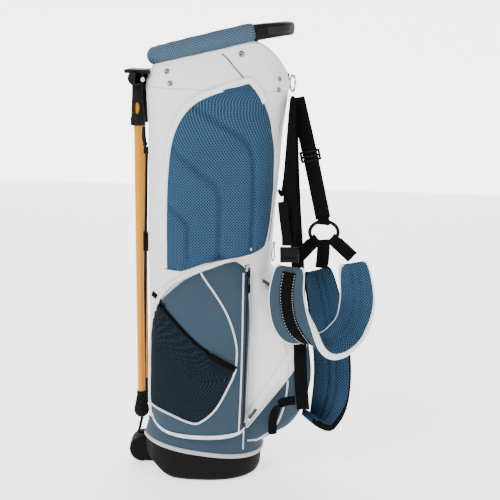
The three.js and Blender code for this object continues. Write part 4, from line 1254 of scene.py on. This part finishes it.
def make_zip_chain(name, outline, skin, side="near"):
    path, normals = skin.path(outline, 260, side, lift=0.5)
    flat_band(f"{name}_tape", path, normals, 5.4, 0.5, SLATE, "slate_fabric")
    chain = [point + normal * 0.7 for point, normal in zip(path, normals)]
    teeth = sweep(
        f"{name}_teeth",
        chain,
        [Vector((1, 0, 0)) if abs(normal.x) < 0.9 else Vector((0, 1, 0)) for normal in normals],
        lambda part: 1.9 + 0.5 * math.sin(part * 130 * math.pi),
        1.0,
        PLASTIC,
        8,
    )
    finish_piece(teeth, "root", "black_plastic")


def make_far_pocket(tube, band):
    rows = [(z, 360 - left, 360 - right) for z, left, right in POCKET_ROWS]
    pocket = raised_patch("far_pocket", rows, POCKET_DEPTH, 2, 90, 110, SLATE, pocket_relief)
    finish_piece(pocket, "root", "slate_fabric", "side_pocket_far")
    cloth = Skin(pocket, tube, band)
    path, normals = cloth.path(POCKET_BORDER, 150, "far", lift=1.4)
    flat_band("far_binding", path, normals, 6.2, 1.8, WHITE, "white_fabric")
    edging("far_binding_ridges", path, normals, (-3.4, 3.4), 2.3, WHITE_PIPING, "white_fabric")
    for word, x in (("left", 77), ("right", 92)):
        strip = [(x, 436), (x + 1, 360), (x + 2, 280), (x + 2, 190), (x + 1, 112)]
        strip_path, strip_normals = cloth.path(strip, 80, "far", lift=0.8)
        edging(f"far_side_piping_{word}", strip_path, strip_normals, (0,), 1.8, WHITE_PIPING, "white_fabric")
    make_zip_chain("far_zip", [(84.5, 449), (84.8, 380), (85.5, 300), (85.5, 200), (85, 122)], cloth, "far")


CHANNELS = [
    [(-34, 752), (30, 716), (84, 674), (93, 580), (93, 478)],
    [(-70, 672), (-24, 636), (22, 598), (29, 540), (29, 466)],
    [(-72, 560), (-50, 543), (-33, 522), (-32, 490), (-32, 446)],
]


def nearest_distance(x, z, lines):
    best = 1e9
    for line in lines:
        for (ax, az), (bx, bz) in zip(line, line[1:]):
            length = (bx - ax) ** 2 + (bz - az) ** 2
            part = min(max(((x - ax) * (bx - ax) + (z - az) * (bz - az)) / length, 0), 1)
            best = min(best, math.hypot(x - ax - part * (bx - ax), z - az - part * (bz - az)))
    return best


def make_hip_pad(tube, collar):
    smooth_channels = [
        [(point.x, point.z) for point in spline([Vector((x, 0, z)) for x, z in line], 24)]
        for line in CHANNELS
    ]

    def relief(point):
        groove = nearest_distance(point.x, point.z, smooth_channels)
        return -6.5 * math.exp(-((groove / 4.6) ** 2)) + wrinkle(point, 60, 1.4) - 0.8

    pad = raised_patch("hip_cushion", HIP_PAD_ROWS, 12, 3, 150, 190, BLUE_MESH, relief)
    finish_piece(pad, "root", "blue_mesh", "hip_pad")
    cloth = Skin(pad, tube, collar)
    border = [
        (-73, 437), (-75, 540), (-74, 612), (-68, 680), (-52, 726), (-26, 758), (10, 776),
        (48, 791), (75, 799), (88, 788), (98, 775), (105, 760),
    ]
    path, normals = Skin(tube, collar).path(border, 150, lift=4.0)
    flat_band("hip_binding", path, normals, 6.2, 1.5, WHITE, "white_fabric")
    edging("hip_binding_ridges", path, normals, (-4.2, 4.2), 1.5, WHITE_PIPING, "white_fabric")
    stitches("hip_binding_stitch", path, normals, 3.4, 3.2, WHITE_THREAD, "white_fabric")
    for label, edge in (
        ("right", [(104, 760), (114, 728), (121, 684), (123, 640), (123, 575), (112, 488)]),
        ("low", [(-72, 437), (-40, 437), (2, 454), (37, 462), (88, 473), (112, 488)]),
    ):
        edge_path, edge_normals = cloth.path(edge, 90, lift=0.2)
        edging(f"hip_seam_{label}", edge_path, edge_normals, (0,), 1.3, SLATE, "slate_fabric")
    for number, line in enumerate(CHANNELS):
        line_path, line_normals = cloth.path(line, 90, lift=0.25)
        stitches(f"channel_stitch_{number}", line_path, line_normals, 0, 3.0, BLUE_THREAD, "blue_mesh")
    return pad


# ---- Spine pockets ------------------------------------------------------------------------------

SPINE_POCKET_ROWS = [(79, 14), (110, 66), (180, 94), (255, 92), (300, 74), (387, 34), (425, 6)]


def seam_height(x):
    return 108 + 1.36 * (x - 93)


def spine_surface(raised, relief=True):
    def surface(u, v):
        z = 79 + 346 * v
        degrees = -50 + 100 * eased(u)
        part = 2 * eased(u) - 1
        base = body_point(degrees, z, 0.35)
        if not raised:
            return base
        bulge = max(1 - part ** 4, 0) ** 0.6
        depth = 1.5 + curved_rows(SPINE_POCKET_ROWS, z)[0] * bulge
        lean = -math.sin(math.radians(degrees)) * 0.12 * depth
        point = base + Vector((depth, lean, 0))
        soft = wrinkle(point, 70, 2.6) - 1.6 if relief else 0.0
        return point + Vector((soft * bulge, 0, 0))
    return surface


def make_spine_pockets(tube, band):
    upper = raised_solid("spine_pocket_top", spine_surface(False), spine_surface(True), 90, 110, WHITE)
    lower = raised_solid("spine_pocket_base", spine_surface(False), spine_surface(True), 90, 110, SLATE)
    near, far = -200, 400
    below = [(near, seam_height(near) + 0.3), (far, seam_height(far) + 0.3), (far, -600), (near, -600)]
    above = [(near, seam_height(near)), (far, seam_height(far)), (far, 900), (near, 900)]
    cut_away(upper, [side_prism("below_seam", below, 220)])
    cut_away(lower, [side_prism("above_seam", above, 220)])
    for piece, slot, node in ((upper, "white_fabric", "spine_pocket_upper"), (lower, "slate_fabric", "spine_pocket_lower")):
        keep_edges(piece, 60)
        finish_piece(piece, "root", slot, node)
    surface = spine_surface(True)
    for side, word in ((1, "near"), (-1, "far")):
        make_spine_side_trim(side, word, Skin(upper, lower, tube, band))
        edge = [surface(0.5 + side * 0.30, v / 60) for v in range(0, 61)]
        lower_edge = [point for point in edge if point.z < seam_height(point.x) - 2]
        upper_edge = [point for point in edge if point.z > seam_height(point.x) + 1]
        outward = Vector((0.75, -side * 0.66, 0))
        for label, points in (("base", lower_edge), ("top", upper_edge)):
            lifted = [point + outward * 0.6 for point in points]
            edging(f"spine_{label}_piping_{word}", lifted, [outward] * len(lifted), (0,), 1.9, WHITE_PIPING, "white_fabric")
    hem = [surface(i / 60, 0.012) + Vector((0.8, 0, 0)) for i in range(3, 58)]
    edging("spine_hem_piping", hem, [Vector((1, 0, 0))] * len(hem), (0,), 2.0, WHITE_PIPING, "white_fabric")


def make_spine_side_trim(side, word, cloth):
    face = "near" if side > 0 else "far"
    seam = [(95, 112), (120, 146), (150, 186), (180, 227), (200, 254)]
    path, normals = cloth.path(seam, 60, face, lift=0.6)
    edging(f"spine_seam_piping_{word}", path, normals, (0,), 2.0, WHITE_PIPING, "white_fabric")
    flap = [(94, 128), (112, 158), (140, 203), (168, 248), (190, 284)]
    path, normals = cloth.path(flap, 70, face, lift=1.0)
    flat_band(f"spine_flap_{word}", path, normals, 8.5, 1.1, WHITE, "white_fabric")
    for offset in (-6.6, 6.6):
        stitches(f"spine_flap_stitch_{word}_{offset:.0f}", path, normals, offset, 3.2, WHITE_THREAD, "white_fabric")
    for number, line in enumerate(([(108, 409), (124, 395), (150, 377), (163, 369)], [(108, 399), (124, 386), (148, 369), (163, 360)])):
        path, normals = cloth.path(line, 40, face, lift=0.3)
        edging(f"spine_fold_{word}_{number}", path, normals, (0,), 1.0, WHITE, "white_fabric")


# ---- Zip sliders --------------------------------------------------------------------------------

ZIPS = {
    "side": (Vector((84.5, -115, 447)), Vector((0, 0, -1)), Vector((0.62, -0.78, 0)), 52),
    "upper": (Vector((116, -88, 415)), Vector((0.84, 0, -0.54)), Vector((0.3, -0.9, 0.3)), 18),
    "lower": (Vector((98, -98, 140)), Vector((0.53, 0, 0.85)), Vector((0.4, -0.92, 0)), 26),
}


def zip_turn(forward, outward):
    up = (outward - forward * outward.dot(forward)).normalized()
    side = forward.cross(up)
    return Matrix((side, forward, up)).transposed(), up


def make_sliders():
    for name, (start, along, outward, length) in ZIPS.items():
        along = along.normalized()
        turn, up = zip_turn(along, outward)
        body = []
        for size, shift, lift in (((9, 12, 1.4), 0, 1.2), ((6.4, 12, 1.3), 0, 3.6), ((3.2, 7, 3.4), 1, 2.4)):
            centre = start + along * shift + up * lift
            half = Vector(size) / 2
            body.append(rounded_block("slider_block", centre - half, centre + half, 0.55, STEEL, turn))
        slider = joined(f"{name}_slider", body)
        finish_piece(slider, f"{name}_slider", "steel", f"{name}_zip_slider")
        cord = name == "side"
        material, slot = (WEBBING, "black_webbing") if cord else (SLATE, "slate_fabric")
        first = start + along * -2.6 + up * 6.2
        last = start + along * (length - 3.6) + up * 6.2
        if cord:
            joint = last - along * 16
            strands = [
                round_cord("pull_cord_left", [first + turn @ Vector((s, 0, 0)), joint + turn @ Vector((s, 0, 0))], 1.1, material, 12)
                for s in (-1.6, 1.6)
            ]
            block_centre = (joint + last) / 2
            half = Vector((3.5, 8.4, 1.6))
            strands.append(rounded_block("pull_block", block_centre - half, block_centre + half, 1.2, RUBBER, turn))
            tab = joined("side_pull", strands)
        else:
            centre = (first + last) / 2
            half = Vector((3.5, (last - first).length / 2, 1.0))
            tab = rounded_block(f"{name}_pull", centre - half, centre + half, 0.8, material, turn)
        finish_piece(tab, f"{name}_tab", slot, f"{name}_zip_tab")


# ---- Harness ------------------------------------------------------------------------------------

ACROSS = (1, -0.2, 0)
# Width, thickness, then points with the direction of the strap's width at each.
STRAPS = {
    "top_strap": (30, 3, [(169, -40, 768), (200, -40, 657), (231, -40, 535)], [ACROSS] * 3),
    "strap_near": (28, 2.4, [(161, -52, 766), (161, -66, 700), (161, -84, 600), (162, -97, 520),
                             (163, -101, 490)],
                   [(0.35, -0.9, 0), (0.45, -0.85, 0), (0.8, -0.55, 0), ACROSS, ACROSS]),
    "strap_far": (26, 2.4, [(167, 4, 766), (170, 4, 690), (176, -8, 560), (186, -44, 430), (191, -66, 345),
                            (198, -82, 230), (207, -78, 150)],
                  [(0.35, -0.9, 0), (0.5, -0.85, 0), (0.8, -0.5, 0)] + [ACROSS] * 4),
    "hub_strap_left": (26, 2.6, [(211, -42, 484), (194, -48, 466), (177, -56, 449)], [(-0.6, 0, 0.8)] * 3),
    "hub_strap_middle": (26, 2.6, [(235, -39, 479), (236, -20, 444), (237, 8, 424)], [ACROSS] * 3),
    "hub_strap_right": (26, 2.6, [(260, -40, 487), (278, -42, 472), (293, -45, 459)],
                        [(0.6, 0, 0.8), (0.7, 0, 0.7), (0.8, 0, 0.6)]),
    "haul_loop": (18, 5, [(146, -103, 106), (147, -105, 146), (162, -104, 172), (188, -97, 176)],
                  [(0.9, 0.3, 0.1), (0.9, 0.3, 0.1), (0.4, 0.2, 0.8), (0, 0.1, 1)]),
    "carry_handle": (22, 7, [(162, -23, 770), (159, -24, 740), (156, -25, 666), (153, -25, 606),
                             (149, -24, 578), (142, -22, 586)], [(0, 1, 0)] * 6),
}
RING_CENTRE, RING_HALF_HEIGHT, RING_HALF_WIDTH, RING_RADIUS = Vector((161, -20, 794)), 15, 12, 2.2
HUB_CENTRE, HUB_HALF_WIDTH, HUB_HALF_HEIGHT, HUB_RADIUS = Vector((234, -40, 507)), 28, 22, 3.6
PAD_WIDTH, PAD_THICKNESS = 78, 16
CHANNEL_REACH = 0.2
PADS = {
    "near": (
        [(167, -104, 450), (162, -112, 388), (183, -121, 330), (244, -108, 294), (292, -68, 318),
         (306, -56, 374), (293, -54, 450)],
        [(1, -0.1, 0), (1, -0.1, 0.1), (0.8, -0.4, 0.4), (0.1, -0.95, -0.25), (0.5, -0.75, -0.4),
         (0.95, -0.3, 0.1), (1, 0.1, 0)],
    ),
    "far": (
        [(222, -44, 122), (252, -26, 104), (270, 4, 152), (270, 18, 230), (252, 22, 330), (230, 22, 416)],
        [(0.1, -0.95, 0.2), (0.5, -0.85, 0), (0.95, -0.3, 0), (0.95, -0.3, 0), (1, 0.1, 0), (1, 0.1, 0)],
    ),
}


def vectors(rows):
    return [Vector(row) for row in rows]


def make_straps():
    for name, (width, thickness, places, facing) in STRAPS.items():
        path = spline(vectors(places), 20 * (len(places) - 1))
        widths = spline(vectors(facing), 20 * (len(places) - 1))
        strap = sweep(f"{name}_web", path, widths, width / 2, thickness / 2, WEBBING, 16, 4)
        finish_piece(strap, "root", "black_webbing", name)
    tail = spline(vectors([(160, -106, 492), (153, -108, 530), (146, -108, 576)]), 40)
    loose_end = sweep("near_strap_tail", tail, Vector(ACROSS), 9, 1.1, WEBBING, 16, 4)
    finish_piece(loose_end, "root", "black_webbing")


def frames_along(path, widths):
    """Unit width, thickness and length directions at each point."""
    result = []
    for i in range(len(path)):
        after = path[min(i + 1, len(path) - 1)]
        before = path[max(i - 1, 0)]
        tangent = (after - before).normalized()
        width = (widths[i] - tangent * widths[i].dot(tangent)).normalized()
        result.append((width, tangent.cross(width), tangent))
    return result


def pad_half_width(part):
    return PAD_WIDTH / 2 * (0.55 + 0.45 * max(math.sin(math.pi * part), 0) ** 0.35)


def pad_half_thickness(reach):
    """Half thickness at a share of the half width, with two stitched channels."""
    full = PAD_THICKNESS / 2 * (1 - abs(reach) ** 5) ** (1 / 5)
    return full * (1 - 0.5 * math.exp(-(((abs(reach) - CHANNEL_REACH) / 0.07) ** 2)))


def make_shoulder_pad(word, edge_material, edge_slot):
    places, facing = PADS[word]
    rings = 150
    path = spline(vectors(places), rings)
    frames = frames_along(path, spline(vectors(facing), rings))
    steps = 34
    reaches = [-math.cos(math.pi * k / steps) for k in range(steps + 1)]
    section = [(reach, 1) for reach in reaches] + [(reach, -1) for reach in reaches[-2:0:-1]]
    points, layout, faces, outside = [], [], [], []
    travelled = 0.0
    for i, (centre, (width, through, _along)) in enumerate(zip(path, frames)):
        part = i / rings
        travelled += (centre - path[i - 1]).length if i else 0.0
        end = min(1.0, (min(part, 1 - part) * 14) ** 0.5 + 0.25)
        for reach, face in section:
            across = reach * pad_half_width(part)
            level = face * pad_half_thickness(reach) * end
            point = centre + width * across + through * level
            points.append(point + through * wrinkle(point, 34, 0.6) * (1 - abs(reach)))
            layout.append((across * MM, travelled * MM))
    count = len(section)
    for i in range(rings):
        for k in range(count):
            following = (k + 1) % count
            faces.append((i * count + k, i * count + following, (i + 1) * count + following, (i + 1) * count + k))
            outside.append(k < steps)
    faces += [tuple(range(count)), tuple(rings * count + k for k in range(count))]
    outside += [False, False]
    pad = build_object(f"shoulder_pad_{word}_body", points, faces, layout, BLUE_MESH)
    pad.data.materials.append(SLATE)
    for polygon, is_outside in zip(pad.data.polygons, outside):
        polygon.material_index = 1 if is_outside and word == "near" else 0
    recalculate(pad)
    finish_piece(pad, "root", "blue_mesh", f"shoulder_pad_{word}")
    for side in (-1, 1):
        rim = []
        normals = []
        for i, (centre, (width, through, _along)) in enumerate(zip(path, frames)):
            rim.append(centre + width * side * (pad_half_width(i / rings) - 1.5))
            normals.append(width * side)
        label = f"pad_binding_{word}_{'right' if side > 0 else 'left'}"
        flat_band(label, rim, normals, 6.6, 1.7, edge_material, edge_slot)
    for face in (1, -1):
        for reach in (-CHANNEL_REACH, CHANNEL_REACH):
            seam = []
            normals = []
            for i in range(6, rings - 5):
                width, through, _along = frames[i]
                level = face * (pad_half_thickness(reach) + 0.2)
                seam.append(path[i] + width * reach * pad_half_width(i / rings) + through * level)
                normals.append(through * face)
            stitches(f"pad_stitch_{word}_{face}_{reach}", seam, normals, 0, 3.4, BLUE_THREAD, "blue_mesh")
    return path, frames


def make_pads():
    path, frames = make_shoulder_pad("near", WHITE, "white_fabric")
    cover = path[6:62]
    lifted = [point + frames[i + 6][1] * (PAD_THICKNESS / 2 + 1.1) for i, point in enumerate(cover)]
    normals = [frames[i + 6][1] for i in range(len(cover))]
    flat_band("pad_cover_web", lifted, normals, 13, 1.1, WEBBING, "black_webbing")
    for offset in (-11, 11):
        stitches(f"pad_cover_stitch_{offset}", [p + n * 1.1 for p, n in zip(lifted, normals)], normals,
                 offset, 3.2, WHITE_THREAD, "black_webbing")
    make_box_stitch("near", path, frames, 139, -1)
    far_path, far_frames = make_shoulder_pad("far", WEBBING, "black_webbing")
    make_box_stitch("far", far_path, far_frames, 141, -1)


def make_box_stitch(word, path, frames, index, face):
    """Crossed box of stitches that holds the webbing inside the end of the pad."""
    width, through, along = frames[index]
    base = path[index] + through * face * (PAD_THICKNESS / 2 + 0.3)
    signs = ((-1, -1), (1, -1), (1, 1), (-1, 1))
    corners = [base + width * a * 12 + along * b * 13 for a, b in signs]
    route = corners + [corners[0], corners[2], corners[3], corners[1]]
    path_points = []
    for start, end in zip(route, route[1:]):
        path_points += [start.lerp(end, k / 12) for k in range(12)]
    stitches(f"pad_box_{word}", path_points, [through * face] * len(path_points), 0, 2.6, BLUE_THREAD, "blue_mesh")


def make_rings():
    route = []
    for i in range(64):
        angle = i / 64 * 2 * math.pi
        swing = RING_HALF_WIDTH * math.cos(angle)
        route.append(RING_CENTRE + Vector((swing * 0.35, -swing, RING_HALF_HEIGHT * math.sin(angle))))
    ring = round_cord("steel_ring", route, RING_RADIUS, STEEL, 16, True)
    finish_piece(ring, "root", "steel", "spine_ring")
    tab = rounded_block("ring_web", Vector((151.6, -32, 799)), Vector((154, -8, 813)), 0.8, WEBBING)
    finish_piece(tab, "root", "black_webbing", "ring_tab")
    circle = []
    for i in range(96):
        angle = i / 96 * 2 * math.pi
        circle.append(HUB_CENTRE + Vector((HUB_HALF_WIDTH * math.cos(angle), 0, HUB_HALF_HEIGHT * math.sin(angle))))
    hub = sweep("harness_hub", circle, Vector((0, 1, 0)), HUB_RADIUS, HUB_RADIUS, PLASTIC, 20, 2.6, True)
    finish_piece(hub, "root", "black_plastic", "hub_ring")
    for name in ("top_strap", "hub_strap_left", "hub_strap_middle", "hub_strap_right"):
        _width, _thickness, places, facing = STRAPS[name]
        nearest = min(vectors(places), key=lambda point: (point - HUB_CENTRE).length)
        inward = (HUB_CENTRE - nearest).normalized()
        start = nearest - inward * 2
        reach = 1 / math.hypot(inward.x / HUB_HALF_WIDTH, inward.z / HUB_HALF_HEIGHT)
        end = HUB_CENTRE - inward * (reach - 3)
        width = Vector(facing[-1]) if name == "top_strap" else Vector(facing[0])
        wrap = [start, start.lerp(end, 0.5) + Vector((0, -5.5, 0)), end + Vector((0, -5.2, 0)), end + inward * 3.6]
        loop = sweep(f"{name}_turn", spline(wrap, 24), width, 12, 1.2, WEBBING, 12, 4)
        finish_piece(loop, "root", "black_webbing")


def make_buckles():
    places = vectors(STRAPS["top_strap"][2])
    along = (places[2] - places[0]).normalized()
    width = (Vector(ACROSS) - along * along.dot(Vector(ACROSS))).normalized()
    through = along.cross(width)
    turn = Matrix((width, along, through)).transposed()
    parts = []
    for size, shift in (
        ((40, 4, 8), Vector((0, -9, 0))),
        ((40, 4, 8), Vector((0, 9, 0))),
        ((4, 20, 8), Vector((-18, 0, 0))),
        ((4, 20, 8), Vector((18, 0, 0))),
        ((36, 4.5, 2.6), Vector((0, 0, 4.2))),
    ):
        centre = places[1] + turn @ shift
        half = Vector(size) / 2
        parts.append(rounded_block("buckle_bar", centre - half, centre + half, 1.1, PLASTIC, turn))
    buckle = joined("strap_buckle", parts)
    finish_piece(buckle, "buckle", "black_plastic", "strap_slider")
    make_ladder_lock("near_lock", Vector((163.4, -101.3, 487.6)), Vector((165, -103.4, 458)), Vector(ACROSS), 18, "ladder_lock_near")


def make_ladder_lock(name, start, end, across, half_width, *nodes):
    along = (end - start).normalized()
    width = (across - along * along.dot(across)).normalized()
    through = along.cross(width)
    turn = Matrix((width, along, through)).transposed()
    middle = (start + end) / 2
    length = (end - start).length / 2
    parts = []
    for low, high in (
        ((-half_width, -length, -3), (-half_width + 5, length, 3)),
        ((half_width - 5, -length, -3), (half_width, length, 3)),
        ((-half_width, -length, -3), (half_width, -length + 5, 3)),
        ((-half_width, -2.5, -4.6), (half_width, 2.5, 1)),
        ((-half_width, length - 7, -3), (half_width, length, 4.8)),
        ((-half_width + 3, -length + 3, -0.9), (half_width - 3, length - 3, 0.9)),
    ):
        low, high = Vector(low), Vector(high)
        centre = middle + turn @ ((low + high) / 2)
        half = (high - low) / 2
        parts.append(rounded_block("lock_bar", centre - half, centre + half, 0.8, PLASTIC, turn))
    finish_piece(joined(name, parts), "root", "black_plastic", *nodes)


def make_snap_hook():
    top, foot = Vector((136, -52, 488)), Vector((134, -60, 448))
    along = (foot - top).normalized()
    side = Vector((0.6, 0.8, 0))
    side = (side - along * along.dot(side)).normalized()
    swivel = lathe("swivel", top, top + along, [(1.6, 0), (3, 1), (3, 7), (1.8, 8), (1.8, 10)], STEEL, 24)
    middle = top + along * 25
    loop = []
    for i in range(48):
        angle = i / 48 * 2 * math.pi
        loop.append(middle + side * 4.4 * math.cos(angle) + along * 14 * math.sin(angle))
    hook = joined("snap_body", [swivel, round_cord("snap_loop", loop, 1.4, STEEL, 12, True)])
    finish_piece(hook, "snap", "steel", "snap_hook")


def make_small_trim(collar, upper_face):
    skin = Skin(collar)
    for number, (x, z) in enumerate(((-77, 810), (-70, 789), (60, 847))):
        place, normal = skin.hit(x, z)
        dome(f"collar_rivet_{number}", place, normal, 5.6, 3.0, RIVET, "steel")
        place, normal = skin.hit(x, z, "far")
        dome(f"collar_rivet_far_{number}", place, normal, 5.6, 3.0, RIVET, "steel")
    for number, (x, z) in enumerate(((133, 803), (132, 783))):
        place, normal = skin.hit(x, z)
        dome(f"handle_rivet_{number}", place, normal, 4.8, 2.6, RIVET, "steel")
    seam = [(24, 846), (36, 836), (51, 819), (74, 795)]
    path, normals = skin.path(seam, 60, lift=0.3)
    edging("collar_seam", path, normals, (0,), 1.2, SLATE, "slate_fabric")
    fold = []
    for i in range(60):
        degrees = 64 - i / 59 * 128
        head = rim_point(degrees)
        head.z = collar_edge(head) - 8
        foot = body_point(degrees, TUBE_TOP)
        drop = (head.z - TUBE_TOP) / max(collar_edge(rim_point(degrees)) - TUBE_TOP, 1)
        fold.append(foot.lerp(Vector((head.x, head.y, head.z)), drop) + Vector((1.5, 0, 0)))
    roll = sweep("collar_fold", fold, Vector((0, 0, 1)), 10, 4.6, WHITE, 20, 2.6)
    finish_piece(roll, "root", "white_fabric")
    line = [body_point(24 - 4 * math.sin(i / 30 * math.pi), 724 - i / 30 * 236, 2.2) for i in range(31)]
    bungee = round_cord("side_bungee", line, 1.3, WEBBING, 10)
    finish_piece(bungee, "root", "black_webbing")


# ---- The whole bag ------------------------------------------------------------------------------

make_camera()
make_studio()
make_boot()
lower_band, fabric_tube = make_tube()
collar_fabric = make_collar()
make_hem_piping()
make_sleeve()
make_mouth_frame()
make_dividers()
make_bracket()
make_actuator()
make_pedal()
for leg_side, leg_word in ((-1, "near"), (1, "far")):
    make_leg(leg_side, leg_word)
near_pocket = make_near_pocket()
mesh_pouch = make_mesh_pouch(near_pocket)
make_near_pocket_trim(near_pocket, mesh_pouch, fabric_tube, lower_band)
make_far_pocket(fabric_tube, lower_band)
make_hip_pad(fabric_tube, collar_fabric)
make_spine_pockets(fabric_tube, lower_band)
make_sliders()
make_straps()
make_pads()
make_rings()
make_buckles()
make_snap_hook()
make_small_trim(collar_fabric, near_pocket)
